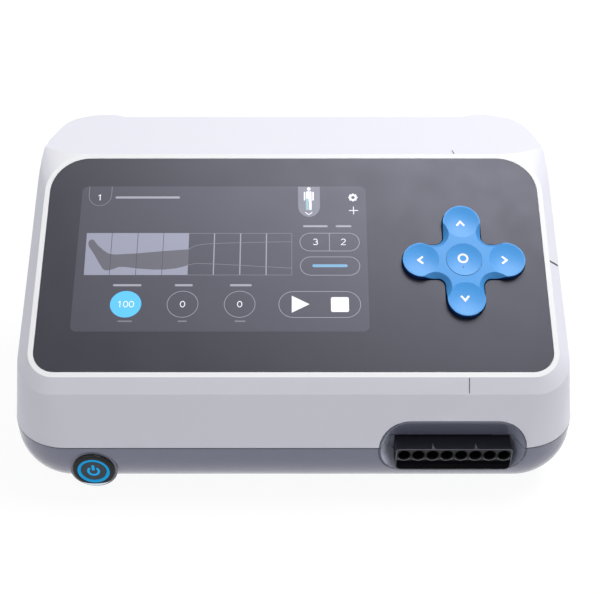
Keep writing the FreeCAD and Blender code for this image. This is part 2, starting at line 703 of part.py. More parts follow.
def make_upper_housing():
    deck_depth = S.glass_thick + S.deck_thick
    shell = cut("housing_shell", upper_form("housing_outer", as_size(0), as_size(0),
                                            as_size(0), as_size(0)),
                upper_form("housing_inner", S.wall_thick, deck_depth, S.wall_thick,
                           S.wall_thick))
    bosses = []
    for number, (x, y) in enumerate(corner_points()):
        low = S.seam_height - S.lip_height
        bosses.append(cylinder("housing_column_%d" % number, S.boss_radius, S.boss_top - low,
                               x, y, low))
        inner = x if x.value > 0 else -S.seam_half_width
        bosses.append(box("housing_gusset_%d" % number,
                          (inner, y - S.gusset_thick / 2, S.gusset_bottom),
                          (S.seam_half_width - BOSS_X, S.gusset_thick,
                           S.boss_top - S.gusset_bottom)))
    room = fuse("housing_room", upper_form("housing_room_top", S.column_sink, S.column_sink,
                                           S.column_sink, S.wall_thick),
                box("housing_room_low", (-BOSS_X - S.boss_radius * 2, -S.seam_front,
                                         S.seam_height - S.lip_height),
                    ((BOSS_X + S.boss_radius * 2) * 2, S.seam_front * 2, S.lip_height)))
    columns = common("housing_columns", fuse("housing_all_columns", *bosses), room)
    posts = []
    for number, (x, v) in enumerate(key_post_points()):
        post = doc.addObject("Part::Cylinder", "key_post_%d" % number)
        bind(post, "Radius", S.post_radius)
        bind(post, "Height", S.key_board_depth - S.glass_thick)
        posts.append(on_panel(post, x, v, -S.key_board_depth))
    for number, (x, v) in enumerate(display_post_points()):
        post = doc.addObject("Part::Cylinder", "display_post_%d" % number)
        bind(post, "Radius", S.post_radius)
        bind(post, "Height", S.display_thick)
        posts.append(on_panel(post, x, v, -S.glass_thick - S.display_thick))
    solid = fuse("housing_solid", shell, columns, fan_pad(), *posts)

    pocket = doc.addObject("Sketcher::SketchObject", "glass_pocket_outline")
    on_panel(pocket, 0, 0, -S.glass_thick)
    half = S.glass_width / 2 + S.glass_gap
    add_rounded_box(pocket, -half, half, -S.glass_gap, S.glass_length + S.glass_gap,
                    S.glass_front_radius + S.glass_gap, S.glass_back_radius + S.glass_gap)
    openings = [extrude("glass_pocket", pocket, S.glass_thick * 2)]
    openings.append(panel_prism("display_window", S.display_x, S.display_v, -deck_depth - 1,
                                S.display_width / 2 + S.display_gap,
                                S.display_length / 2 + S.display_gap, as_size(1),
                                S.deck_thick + 2))
    hole = doc.addObject("Part::Cylinder", "key_window")
    bind(hole, "Radius", S.deck_hole_radius)
    bind(hole, "Height", S.deck_thick + 2)
    openings.append(on_key(hole, -deck_depth - 1))
    openings.append(scoop_form("housing_scoop_hole", S.liner_thick + S.liner_gap,
                               S.scoop_depth + S.liner_thick + S.liner_gap))
    for number, (x, y) in enumerate(corner_points()):
        openings.append(cylinder("housing_pilot_%d" % number, S.screw_radius + S.screw_gap,
                                 S.screw_length, x, y, S.seam_height - S.lip_height - 1))
    for number, (x, v) in enumerate(key_post_points()):
        pilot = doc.addObject("Part::Cylinder", "key_pilot_%d" % number)
        bind(pilot, "Radius", S.screw_radius + S.screw_gap)
        bind(pilot, "Height", S.key_board_depth - S.glass_thick - 1)
        openings.append(on_panel(pilot, x, v, -S.key_board_depth - 0.5))
    for number, (x, v) in enumerate(display_post_points()):
        pilot = doc.addObject("Part::Cylinder", "display_pilot_%d" % number)
        bind(pilot, "Radius", S.screw_radius + S.screw_gap)
        bind(pilot, "Height", S.display_thick - 0.5)
        openings.append(on_panel(pilot, x, v, -S.glass_thick - S.display_thick - 0.5))
    openings += fan_openings()
    opened = cut("housing_opened", solid, *openings)
    node(cut("upper_housing", opened, *fan_screw_seats()), "upper_housing")


def fan_pad():
    """An upright seat for the fan on the inside of the leaning rear wall."""
    half = S.fan_size / 2 + S.fan_pad_margin
    block = box("fan_pad_block", (S.fan_x - half, S.fan_back_y, S.fan_z - half),
                (half * 2, S.fan_pad_deep, half * 2))
    bore = cylinder("fan_pad_bore", S.fan_bore_radius, S.fan_pad_deep + 2, S.fan_x,
                    S.fan_back_y + S.fan_pad_deep + 1, S.fan_z, 90)
    return cut("fan_pad", block, bore)


def fan_openings():
    """Slots over the fan, and four holes for its screws."""
    slots = []
    count = 6
    for number in range(count):
        rise = S.vent_slot_pitch * (number - (count - 1) / 2)
        at_end = number in (0, count - 1)
        half = S.fan_bore_radius - (S.vent_short if at_end else S.vent_long)
        slots.append(box("vent_%d" % number,
                         (S.fan_x - half, S.fan_back_y, S.fan_z + rise - S.vent_slot_high / 2),
                         (half * 2, S.vent_slot_deep, S.vent_slot_high)))
    for number, (x, z) in enumerate(fan_screw_points()):
        slots.append(cylinder("fan_hole_%d" % number, S.screw_radius + S.screw_gap,
                              S.vent_slot_deep + 1, x, S.fan_back_y + S.vent_slot_deep, z, 90))
    return slots


def fan_screw_seats():
    """Flat sunk seats on the leaning wall for the heads of the fan's screws."""
    far = S.fan_back_y + S.vent_slot_deep
    return [cylinder("fan_seat_%d" % number, S.screw_head_radius + S.screw_clearance,
                     far - S.fan_screw_seat, x, far, z, 90)
            for number, (x, z) in enumerate(fan_screw_points())]


def fan_screw_points():
    half = S.fan_hole_pitch / 2
    return [(S.fan_x + x, S.fan_z + z) for x in (-half, half) for z in (-half, half)]


def make_base_shell():
    top = S.seam_height - S.seam_reveal
    outer = base_form("base_outer", as_size(0), top, as_size(0))
    inner = base_form("base_inner", S.wall_thick, S.seam_height + 1, S.wall_thick)
    tub = cut("base_tub", outer, inner)
    lip_ring = []
    for name, inset in (("base_lip_outer", S.wall_thick + S.lip_gap),
                        ("base_lip_inner", S.wall_thick + S.lip_gap + S.lip_thick)):
        outline = free_sketch(name + "_outline", z=top - S.lip_root)
        add_body_outline(outline, S.seam_half_width - inset, -S.seam_front + inset,
                         S.seam_back - inset, S.seam_taper_start,
                         S.seam_front_radius - inset, S.taper_radius - inset,
                         S.seam_back_radius - inset)
        ring = extrude(name + "_block", outline, S.lip_height + S.lip_root)
        lip_ring.append(cut(name, ring, recess_form(name + "_recess", inset)))
    lip = cut("base_lip", lip_ring[0], lip_ring[1])
    shelf = cut("base_lip_shelf", base_lip_shelf(top), lip_ring[1])
    additions = [tub, lip, shelf]
    for number, (x, y) in enumerate(corner_points()):
        additions.append(cylinder("base_column_%d" % number, S.boss_radius,
                                  S.seam_height - S.lip_height - FLOOR_TOP - S.column_gap,
                                  x, y, FLOOR_TOP))
    additions.append(cylinder("power_boss", S.power_boss_radius, S.power_boss_long, POWER_X,
                              -S.power_face + S.bezel_high + S.power_boss_long, S.power_z, 90))
    rests = [box("port_rest_%d" % number,
                 (PORT_X + S.port_rest_offset * sign - S.port_rest_width / 2,
                  -S.port_slab_back - S.port_rest_deep - S.port_rest_inset, FLOOR_TOP - 1),
                 (S.port_rest_width, S.port_rest_deep, S.port_slab_bottom - FLOOR_TOP + 1))
             for number, sign in enumerate((-1, 1))]
    additions.append(common("port_rests", fuse("all_port_rests", *rests), outer))
    additions.append(inlet_block("inlet_boss", as_size(0)))
    solid = fuse("base_solid", *additions)
    openings = [scoop_form("base_scoop_hole", S.liner_thick + S.liner_gap,
                           S.scoop_depth + S.liner_thick + S.liner_gap),
                block_window("base_block_window")]
    for number, (x, y) in enumerate(corner_points()):
        openings.append(cylinder("base_bore_%d" % number, S.screw_radius + S.screw_clearance,
                                 S.seam_height, x, y, S.base_bottom - 1))
        openings.append(cylinder("base_counterbore_%d" % number,
                                 S.screw_head_radius + S.counterbore_gap,
                                 S.screw_seat - S.base_bottom + 1, x, y, S.base_bottom - 1))
    for number, (x, y) in enumerate(foot_points()):
        openings.append(cylinder("foot_seat_%d" % number, S.foot_radius + S.foot_gap,
                                 S.foot_sink + 1, x, y, S.base_bottom - 1))
    openings.append(cylinder("power_hole", S.switch_barrel_radius + S.screw_clearance,
                             S.power_face, POWER_X, 0, S.power_z, 90))
    openings.append(inlet_block("inlet_boss_hollow", S.wall_thick))
    openings.append(inlet_window("inlet_hole", S.inlet_body_width, S.inlet_body_high,
                                 S.inlet_seat_y - S.wall_thick * 2))
    openings.append(inlet_window("inlet_flange_seat", S.inlet_flange_width,
                                 S.inlet_flange_high, S.inlet_seat_y))
    openings += base_vents()
    node(cut("base_shell", solid, *openings), "base_shell")


def inlet_block(name, inset):
    """The box-shaped boss that carries the mains inlet on the curved back of the tub."""
    half_x = S.inlet_flange_width / 2 + S.inlet_boss_margin - inset
    low = S.inlet_z - S.inlet_flange_high / 2 - S.inlet_boss_low + inset
    high = S.inlet_z + S.inlet_flange_high / 2 + S.inlet_boss_low - inset
    front = S.inlet_boss_front - inset * 2
    return box(name, (INLET_X - half_x, front, low),
               (half_x * 2, S.inlet_seat_y - inset - front, high - low))


def inlet_window(name, width, high, front):
    """A hole for a part of the inlet, with a little room all round."""
    return box(name, (INLET_X - width / 2 - S.inlet_gap, front,
                      S.inlet_z - high / 2 - S.inlet_gap),
               (width + S.inlet_gap * 2, S.wall_thick * 3, high + S.inlet_gap * 2))


def base_lip_shelf(top):
    """The step that carries the lip, just inside the wall."""
    outline = free_sketch("base_shelf_outline", z=top - S.lip_root)
    inset = S.wall_thick - S.lip_overlap
    add_body_outline(outline, S.seam_half_width - inset, -S.seam_front + inset,
                     S.seam_back - inset, S.seam_taper_start, S.seam_front_radius - inset,
                     S.taper_radius - inset, S.seam_back_radius - inset)
    ring = extrude("base_shelf_block", outline, S.lip_root)
    return cut("base_shelf", ring, recess_form("base_shelf_recess", inset))


def base_vents():
    """Air intake slots through the floor, under the pump."""
    slots = []
    count = 7
    for number in range(count):
        x = PUMP_X + S.vent_slot_pitch * (number - (count - 1) / 2)
        slots.append(box("intake_%d" % number,
                         (x - S.vent_slot_high / 2, S.pump_y - S.intake_length / 2,
                          S.base_bottom - 1),
                         (S.vent_slot_high, S.intake_length, S.wall_thick + 2)))
    return slots


def make_feet():
    for number, (x, y) in enumerate(foot_points(), start=1):
        top = S.base_bottom + S.foot_sink
        foot = revolved_body("rubber_foot_%d_body" % number,
                             ((0, 0), (S.foot_radius - S.foot_edge, 0),
                              (S.foot_radius, S.foot_edge),
                              (S.foot_radius, top), (0, top)))
        node(place(foot, x, y, 0), "rubber_foot_%d" % number)


def make_case_screws():
    screws = []
    for number, (x, y) in enumerate(corner_points()):
        shank = cylinder("case_shank_%d" % number, S.screw_radius, S.screw_length, x, y,
                         S.screw_seat)
        head = cylinder("case_head_%d" % number, S.screw_head_radius, S.screw_head_high, x, y,
                        S.screw_seat - S.screw_head_high)
        screws.append(fuse("case_screw_%d" % number, shank, head))
    node(group("case_screw_set", *screws), "case_screws")


# ---------------------------------------------------------------- panel parts

def key_outline(sketch, grow):
    """The four-way cross: round lobes, straight arms, filleted inside corners."""
    lobe = S.lobe_radius + grow
    fillet = S.key_fillet - grow
    corner = S.lobe_radius + S.key_fillet
    offset = S.lobe_offset
    add_belt(sketch, (
        (offset, as_size(0), lobe, -90, 180), (corner, corner, fillet, -90, -90),
        (as_size(0), offset, lobe, 0, 180), (-corner, corner, fillet, 0, -90),
        (-offset, as_size(0), lobe, 90, 180), (-corner, -corner, fillet, 90, -90),
        (as_size(0), -offset, lobe, 180, 180), (corner, -corner, fillet, 180, -90)))


def make_glass_panel():
    body = new_body("glass_panel_body")
    outline = body_sketch(body, "glass_outline", offset=-S.glass_thick)
    add_rounded_box(outline, -S.glass_width / 2, S.glass_width / 2, as_size(0),
                    S.glass_length, S.glass_front_radius, S.glass_back_radius)
    add_pad(body, "glass_sheet", outline, S.glass_thick)
    doc.recompute()
    sheet_solid = on_panel(body)
    opening = doc.addObject("Sketcher::SketchObject", "glass_cross")
    on_key(opening, -S.glass_thick - 1)
    key_outline(opening, S.key_gap)
    hole = extrude("glass_cross_hole", opening, S.glass_thick + 2)
    node(cut("glass_panel", sheet_solid, hole), "glass_panel")


def make_display():
    low = -S.glass_thick - S.display_thick
    module = panel_prism("display_module", S.display_x, S.display_v, low,
                         S.display_width / 2, S.display_length / 2, S.display_corner,
                         S.display_thick)
    node(module, "display_module")
    half_x = S.display_width / 2 + S.bracket_tab
    plate = panel_prism("bracket_plate", S.display_x, S.display_v, low - S.bracket_thick,
                        half_x, S.display_length / 2, S.bracket_corner, S.bracket_thick)
    holes = [panel_prism("bracket_window", S.display_x, S.display_v,
                         low - S.bracket_thick - 1, S.display_width / 2 - S.bracket_window_x,
                         S.display_length / 2 - S.bracket_window_v, S.bracket_corner,
                         S.bracket_thick + 2)]
    for number, (x, v) in enumerate(display_post_points()):
        hole = doc.addObject("Part::Cylinder", "bracket_hole_%d" % number)
        bind(hole, "Radius", S.screw_radius + S.screw_clearance)
        bind(hole, "Height", S.bracket_thick + 2)
        holes.append(on_panel(hole, x, v, low - S.bracket_thick - 1))
    node(cut("display_bracket", plate, *holes), "display_bracket")


def main_board_points():
    half_x = S.main_board_width / 2 - S.board_hole_inset
    half_v = S.main_board_length / 2 - S.board_hole_inset
    return [(S.display_x + x, S.display_v + v) for x in (-half_x, half_x)
            for v in (-half_v, half_v)]


# Each part on the main board: name, then its middle and half sizes as shares of the
# board's width and length, and its height as a share of the room behind the board.
MAIN_BOARD_PARTS = (
    ("processor", -0.14, 0.10, 0.064, 0.107, 0.25),
    ("memory", 0.04, 0.12, 0.043, 0.095, 0.18),
    ("valve_driver", 0.27, -0.19, 0.086, 0.071, 0.20),
    ("pressure_sensor", -0.33, -0.21, 0.050, 0.083, 0.75),
    ("display_plug", -0.31, 0.33, 0.114, 0.036, 0.50),
)


def make_main_board():
    back = -S.glass_thick - S.display_thick - S.bracket_thick
    top = back - S.main_board_gap
    board = panel_prism("main_board_sheet", S.display_x, S.display_v, top - S.board_thick,
                        S.main_board_width / 2, S.main_board_length / 2, S.board_corner,
                        S.board_thick)
    chips = []
    for name, across, along, half_x, half_v, high in MAIN_BOARD_PARTS:
        deep = S.main_board_gap * high
        chips.append(panel_prism(name, S.display_x + S.main_board_width * across,
                                 S.display_v + S.main_board_length * along,
                                 top - S.board_thick - deep, S.main_board_width * half_x,
                                 S.main_board_length * half_v, S.board_corner / 4, deep))
    node(fuse("main_board", board, *chips), "main_board")
    spacers = []
    for number, (x, v) in enumerate(main_board_points()):
        spacer = doc.addObject("Part::Cylinder", "spacer_%d" % number)
        bind(spacer, "Radius", S.spacer_radius)
        bind(spacer, "Height", S.main_board_gap)
        spacers.append(on_panel(spacer, x, v, top))
    node(group("board_spacer_set", *spacers), "board_spacers")


def make_key_board():
    half = S.key_board_size / 2
    board = doc.addObject("Sketcher::SketchObject", "key_board_outline")
    on_key(board, -S.key_board_depth - S.board_thick)
    add_rounded_box(board, -half, half, -half, half, S.key_board_corner, S.key_board_corner)
    for x in (-S.key_board_post, S.key_board_post):
        for y in (-S.key_board_post, S.key_board_post):
            add_circle(board, x, y, S.screw_radius + S.screw_clearance)
    node(extrude("key_board", board, S.board_thick), "key_board")
    switches = []
    offsets = ((0, 0), (1, 0), (-1, 0), (0, 1), (0, -1))
    for number, (x, y) in enumerate(offsets):
        base = doc.addObject("Sketcher::SketchObject", "switch_outline_%d" % number)
        on_key(base, -S.key_board_depth)
        half = S.switch_size / 2
        add_polygon(base, ((S.lobe_offset * x - half, S.lobe_offset * y - half),
                           (S.lobe_offset * x + half, S.lobe_offset * y - half),
                           (S.lobe_offset * x + half, S.lobe_offset * y + half),
                           (S.lobe_offset * x - half, S.lobe_offset * y + half)))
        can = extrude("switch_can_%d" % number, base, S.switch_body_high)
        tip = doc.addObject("Sketcher::SketchObject", "switch_tip_outline_%d" % number)
        on_key(tip, -S.key_board_depth)
        add_circle(tip, S.lobe_offset * x, S.lobe_offset * y, S.switch_cap_radius)
        button = extrude("switch_tip_%d" % number, tip, S.key_board_depth - S.switch_cap_top)
        switches.append(fuse("tact_switch_%d" % number, can, button))
    node(group("tact_switch_set", *switches), "tact_switches")


def make_panel_screws():
    screws = []
    low = -S.glass_thick - S.display_thick - S.bracket_thick
    seats = [(x, v, low, S.display_thick + S.bracket_thick - 1)
             for x, v in display_post_points()]
    seats += [(x, v, -S.key_board_depth - S.board_thick, S.key_screw_length)
              for x, v in key_post_points()]
    for number, (x, v, seat, length) in enumerate(seats):
        shank = doc.addObject("Part::Cylinder", "panel_shank_%d" % number)
        bind(shank, "Radius", S.screw_radius)
        bind(shank, "Height", length)
        on_panel(shank, x, v, seat)
        head = doc.addObject("Part::Cylinder", "panel_head_%d" % number)
        bind(head, "Radius", S.screw_head_radius)
        bind(head, "Height", S.screw_head_high)
        on_panel(head, x, v, seat - S.screw_head_high)
        screws.append(fuse("panel_screw_%d" % number, shank, head))
    node(group("panel_screw_set", *screws), "panel_screws")


def make_pivot_ring():
    """The hidden ring that lets the four-way key rock about two axes."""
    body = new_body("pivot_ring_body")
    ring = body_sketch(body, "pivot_ring_outline",
                       offset=-S.pivot_depth - S.pivot_ring_thick / 2)
    add_circle(ring, 0, 0, S.pivot_ring_outer)
    add_circle(ring, 0, 0, S.pivot_ring_inner)
    add_pad(body, "pivot_ring_pad", ring, S.pivot_ring_thick)
    doc.recompute()
    on_key(body)
    reach = S.pivot_lug_x + S.pivot_lug_thick / 2
    pins = []
    hidden = S.pivot_ring_outer - S.pivot_pin_root
    for number, sign in enumerate((-1, 1)):
        start = hidden if sign > 0 else -reach
        across = cylinder_along_x("pivot_pin_x_%d" % number, S.pivot_pin_radius,
                                  reach - hidden, start, 0, -S.pivot_depth)
        pins.append(across)
        end = reach if sign > 0 else -hidden
        pins.append(cylinder("pivot_pin_y_%d" % number, S.pivot_pin_radius, reach - hidden,
                             0, end, -S.pivot_depth, 90))
    pin_set = on_key(group("pivot_pins", *pins))
    node(fuse("pivot_ring", body, pin_set), "pivot_ring")


def make_pivot_posts():
    posts = []
    for number, sign in enumerate((-1, 1)):
        middle = S.pivot_lug_x * sign
        post = box("pivot_post_block_%d" % number,
                   (-S.pivot_lug_wide / 2, middle - S.pivot_lug_thick / 2,
                    -S.key_board_depth),
                   (S.pivot_lug_wide, S.pivot_lug_thick,
                    S.key_board_depth - S.pivot_depth + S.pivot_pin_radius
                    + S.pivot_lug_wall))
        bore = cylinder("pivot_post_bore_%d" % number, S.pivot_pin_radius + S.pivot_pin_gap,
                        S.pivot_lug_thick + 2, 0, middle + S.pivot_lug_thick / 2 + 1,
                        -S.pivot_depth, 90)
        posts.append(cut("pivot_post_%d" % number, post, bore))
    node(on_key(group("pivot_post_set", *posts)), "pivot_posts")


def make_cross_key():
    """The rocking four-way key with dished lobes and scooped corners."""
    body = new_body("cross_key_body")
    flange = body_sketch(body, "cross_flange_outline", offset=-S.flange_bottom)
    key_outline(flange, S.flange_reach)
    add_pad(body, "cross_flange", flange, S.flange_bottom - S.flange_top)
    outline = body_sketch(body, "cross_outline", offset=-S.flange_top)
    key_outline(outline, as_size(0))
    add_pad(body, "cross_block", outline, S.flange_top + S.key_rise)
    hole = body_sketch(body, "cross_hole_outline", offset=-S.flange_bottom - 1)
    add_circle(hole, 0, 0, S.ok_radius + S.ok_gap)
    add_pocket(body, "cross_hole", hole, S.flange_bottom + S.key_rise + 2, True)
    seat = body_sketch(body, "cross_seat_outline", offset=-S.flange_bottom - 1)
    add_circle(seat, 0, 0, S.ok_radius + S.ok_flange_reach + S.key_gap / 2)
    add_pocket(body, "cross_seat", seat, S.flange_bottom + 1 - S.ok_stop, True)
    doc.recompute()

    dish_sphere = (S.dish_radius * S.dish_radius + S.dish_depth * S.dish_depth) \
        / (S.dish_depth * 2)
    cutters = []
    for number, (x, y) in enumerate(((1, 0), (-1, 0), (0, 1), (0, -1))):
        ball = doc.addObject("Part::Sphere", "dish_ball_%d" % number)
        bind(ball, "Radius", dish_sphere)
        place(ball, S.lobe_offset * x, S.lobe_offset * y,
              S.key_rise - S.dish_depth + dish_sphere)
        cutters.append(ball)
    for number, (x, y) in enumerate(((1, 1), (-1, 1), (-1, -1), (1, -1))):
        cutters.append(cone("scoop_cone_%d" % number, S.scoop_low_radius,
                            S.scoop_top_radius + 0.5, S.key_rise + 0.5, S.scoop_offset * x,
                            S.scoop_offset * y, 0))
    shaped = cut("cross_key_shaped", body, *cutters)

    extras = []
    for number, (x, y) in enumerate(((1, 0), (-1, 0), (0, 1), (0, -1))):
        extras.append(cylinder("plunger_%d" % number, S.plunger_radius,
                               S.plunger_end - S.flange_bottom + 0.5, S.lobe_offset * x,
                               S.lobe_offset * y, -S.plunger_end))
    for number, sign in enumerate((-1, 1)):
        middle = S.pivot_lug_x * sign
        high = S.pivot_depth + S.pivot_pin_radius + S.pivot_lug_wall
        lug = box("pivot_lug_block_%d" % number,
                  (middle - S.pivot_lug_thick / 2, -S.pivot_lug_wide / 2, -high),
                  (S.pivot_lug_thick, S.pivot_lug_wide, high - S.flange_bottom + 0.5))
        bore = cylinder_along_x("pivot_lug_bore_%d" % number,
                                S.pivot_pin_radius + S.pivot_pin_gap, S.pivot_lug_thick + 2,
                                middle - S.pivot_lug_thick / 2 - 1, 0, -S.pivot_depth)
        extras.append(cut("pivot_lug_%d" % number, lug, bore))
    node(on_key(fuse("cross_key", shaped, *extras)), "cross_key")


def make_centre_button():
    """The round button in the middle of the key, held in by a flange under the key."""
    flange = S.ok_radius + S.ok_flange_reach
    stop = -S.ok_stop - S.ok_play
    low = stop - S.ok_flange_thick
    body = revolved_body("centre_button_body",
                         ((0, -S.ok_stem_end), (S.ok_stem_radius, -S.ok_stem_end),
                          (S.ok_stem_radius, low), (flange, low), (flange, stop),
                          (S.ok_radius, stop), (S.ok_radius, S.ok_rise), (0, S.ok_rise)))
    dish_sphere = (S.dish_radius * S.dish_radius + S.dish_depth * S.dish_depth) \
        / (S.dish_depth * 2)
    ball = doc.addObject("Part::Sphere", "centre_ball")
    bind(ball, "Radius", dish_sphere)
    place(ball, 0, 0, S.ok_rise - S.dish_depth + dish_sphere)
    node(on_key(cut("centre_button", body, ball)), "centre_button")


# ---------------------------------------------------------------- power switch

def make_power_switch():
    barrel_deep = S.power_face - S.switch_barrel_end
    bezel = revolved_body("power_bezel_body",
                          ((S.bezel_hole_radius, -S.bezel_high),
                           (S.bezel_radius, -S.bezel_high),
                           (S.bezel_radius, -S.bezel_high + S.bezel_edge_high),
                           (S.bezel_face_radius + S.bezel_edge_run, -S.bezel_edge_drop),
                           (S.bezel_face_radius, 0),
                           (S.bezel_hole_radius, 0)))
    node(on_power(bezel), "power_bezel")
    ring = revolved_body("power_ring_body",
                         ((S.ring_inner_radius, -S.ring_deep), (S.ring_outer_radius, -S.ring_deep),
                          (S.ring_outer_radius, -S.ring_recess),
                          (S.ring_inner_radius, -S.ring_recess)))
    node(on_power(ring), "power_ring")
    button = revolved_body("power_button_body",
                           ((0, -S.cap_recess - S.cap_deep),
                            (S.cap_radius - S.cap_neck, -S.cap_recess - S.cap_deep),
                            (S.cap_radius - S.cap_neck, -S.ring_deep - S.cap_skirt),
                            (S.cap_radius, -S.ring_deep - S.cap_skirt),
                            (S.cap_radius, -S.cap_recess - S.cap_edge),
                            (S.cap_radius - S.cap_edge, -S.cap_recess),
                            (0, -S.cap_recess)))
    node(on_power(button), "power_button")
    floor = S.cap_recess + S.cap_deep + S.power_travel + S.power_room
    tail = S.switch_barrel_radius - S.barrel_tail_step
    tail_top = S.barrel_tail_long - barrel_deep
    rim = -S.bezel_high - S.barrel_gap
    ring_wall = S.ring_outer_radius + S.barrel_gap
    ring_seat = -S.ring_deep - S.barrel_gap
    barrel = revolved_body("power_barrel_body",
                           ((0, -barrel_deep), (tail, -barrel_deep), (tail, tail_top),
                            (S.switch_barrel_radius, tail_top), (S.switch_barrel_radius, rim),
                            (ring_wall, rim), (ring_wall, ring_seat),
                            (S.cap_radius + S.cap_gap, ring_seat),
                            (S.cap_radius + S.cap_gap, -floor), (0, -floor)))
    node(on_power(barrel), "power_barrel")
    nut = new_body("power_nut_body")
    sketch = body_sketch(nut, "power_nut_outline",
                         offset=-S.bezel_high - S.power_boss_long - S.nut_thick)
    corners = [(S.nut_radius * math.cos(math.radians(60 * side)),
                S.nut_radius * math.sin(math.radians(60 * side))) for side in range(6)]
    add_polygon(sketch, corners)
    add_circle(sketch, 0, 0, S.switch_barrel_radius + S.nut_gap)
    add_pad(nut, "power_nut_pad", sketch, S.nut_thick)
    doc.recompute()
    node(on_power(nut), "power_nut")


# ---------------------------------------------------------------- air ports

def make_port_surround():
    cavity = scoop_form("scoop_cavity", as_size(0), S.scoop_depth)
    liner = scoop_form("liner_block", S.liner_thick, S.scoop_depth + S.liner_thick)
    hollow = cut("liner_hollow", liner, cavity)
    block_hole = block_window("liner_window")
    open_liner = cut("liner_open", hollow, block_hole)
    upper = upper_form("liner_trim_upper", as_size(0), as_size(0), as_size(0), as_size(0))
    lower = base_form("liner_trim_lower", as_size(0), S.seam_height - S.seam_reveal,
                      as_size(0))
    node(common("port_surround_upper", open_liner, upper), "port_surround_upper")
    node(common("port_surround_lower", open_liner, lower), "port_surround_lower")


def make_port_block():
    half = PORT_BLOCK_HALF
    left = PORT_X - half
    slab_top = TILE_BOTTOM - S.port_clear
    front = -S.port_front
    slab = new_body("port_slab_body")
    face = body_sketch(slab, "port_slab_face", "XZ_Plane", S.port_slab_back)
    low = S.port_slab_bottom
    corner = S.port_corner
    edge = S.slab_edge
    add_belt(face, ((PORT_X + half - corner, low + corner, corner, -90, 90),
                    (PORT_X + half - edge, slab_top - edge, edge, 0, 90),
                    (left + edge, slab_top - edge, edge, 90, 90),
                    (left + corner, low + corner, corner, 180, 90)))
    add_pad(slab, "port_slab_pad", face, S.port_front - S.port_slab_back)
    doc.recompute()
    bevel = new_body("port_bevel_body")
    wedge = body_sketch(bevel, "port_bevel_face", "YZ_Plane", left - 1)
    add_polygon(wedge, ((front - 1, slab_top + 1), (front - 1, slab_top - S.port_bevel_high),
                        (front, slab_top - S.port_bevel_high),
                        (front + S.port_bevel_deep, slab_top),
                        (front + S.port_bevel_deep, slab_top + 1)))
    add_pad(bevel, "port_bevel_pad", wedge, half * 2 + 2)
    doc.recompute()
    node(cut("port_slab", slab, bevel), "port_slab")

    cover = new_body("port_cover_body")
    arch = body_sketch(cover, "port_cover_face", "XZ_Plane", S.tile_back)
    side = S.port_side_thick
    inner_left = left + side
    inner_right = left + half * 2 - side
    inner_top = TILE_TOP + S.port_clear
    top = inner_top + S.port_cover_thick
    bottom = TILE_BOTTOM
    add_polygon(arch, ((left, bottom), (inner_left, bottom), (inner_left, inner_top),
                       (inner_right, inner_top), (inner_right, bottom),
                       (left + half * 2, bottom), (left + half * 2, top - S.cover_edge),
                       (left + half * 2 - S.cover_edge, top), (left + S.cover_edge, top),
                       (left, top - S.cover_edge)))
    add_pad(cover, "port_cover_pad", arch, S.port_front - S.tile_back)
    doc.recompute()
    ribs = [key_rib("port_rib_%d" % port, PORT_FIRST_X + S.port_pitch * port, top)
            for port in (2, 5)]
    node(fuse("port_cover", cover, *ribs), "port_cover")


def key_rib(name, x, top):
    """A small arrow-shaped key rib on the cover, with its point to the back."""
    plan = free_sketch(name + "_plan", x, -S.port_front, top - S.rib_high)
    add_polygon(plan, ((-S.rib_half, as_size(0)), (S.rib_half, as_size(0)),
                       (as_size(0), S.rib_long)))
    return extrude(name, plan, S.rib_high * 2)


def make_port_sleeves():
    for number in range(PORT_COUNT):
        x = PORT_FIRST_X + S.port_pitch * number
        half = S.tile_width / 2
        body = new_body("port_sleeve_body_%d" % (number + 1))
        face = body_sketch(body, "sleeve_face_%d" % number)
        add_polygon(face, ((-half, -half), (half, -half), (half, half), (-half, half)))
        add_pad(body, "sleeve_tile_%d" % number, face, S.port_front - S.tile_back, True)
        tail = body_sketch(body, "sleeve_tail_face_%d" % number,
                           offset=-(S.port_front - S.tile_back))
        add_circle(tail, 0, 0, S.tail_radius)
        add_pad(body, "sleeve_tail_%d" % number, tail, S.tail_length, True)
        bore = body_sketch(body, "sleeve_bore_face_%d" % number)
        add_circle(bore, 0, 0, S.port_radius)
        add_pocket(body, "sleeve_bore_%d" % number, bore, S.bore_deep)
        duct = body_sketch(body, "sleeve_duct_face_%d" % number, offset=-S.bore_deep + 1)
        add_circle(duct, 0, 0, S.tail_hole_radius)
        add_pocket(body, "sleeve_duct_%d" % number, duct,
                   S.port_front - S.tile_back + S.tail_length - S.bore_deep + 2)
        mouth = body_sketch(body, "sleeve_mouth_face_%d" % number, "XZ_Plane")
        wide = S.port_radius + S.mouth_lip
        add_polygon(mouth, ((0, 1), (wide, 1), (wide, 0), (S.port_radius, -S.mouth_lip),
                            (0, -S.mouth_lip)))
        add_groove(body, "sleeve_mouth_%d" % number, mouth, "V_Axis")
        doc.recompute()
        place(body, x, -S.port_front, S.port_z, 90)
        node(body, "port_sleeve_%d" % (number + 1))


def make_port_tubes():
    tubes = []
    inner = S.tail_radius + S.tube_gap
    outer = inner + S.tube_wall
    length = S.tile_back - S.manifold_front
    for number in range(PORT_COUNT):
        x = PORT_FIRST_X + S.port_pitch * number
        ring = cylinder("tube_outer_%d" % number, outer, length, x, -S.manifold_front,
                        S.port_z, 90)
        hole = cylinder("tube_inner_%d" % number, inner, length + 2, x,
                        -S.manifold_front + 1, S.port_z, 90)
        tubes.append(cut("port_tube_%d" % number, ring, hole))
    node(group("port_tube_set", *tubes), "port_tubes")


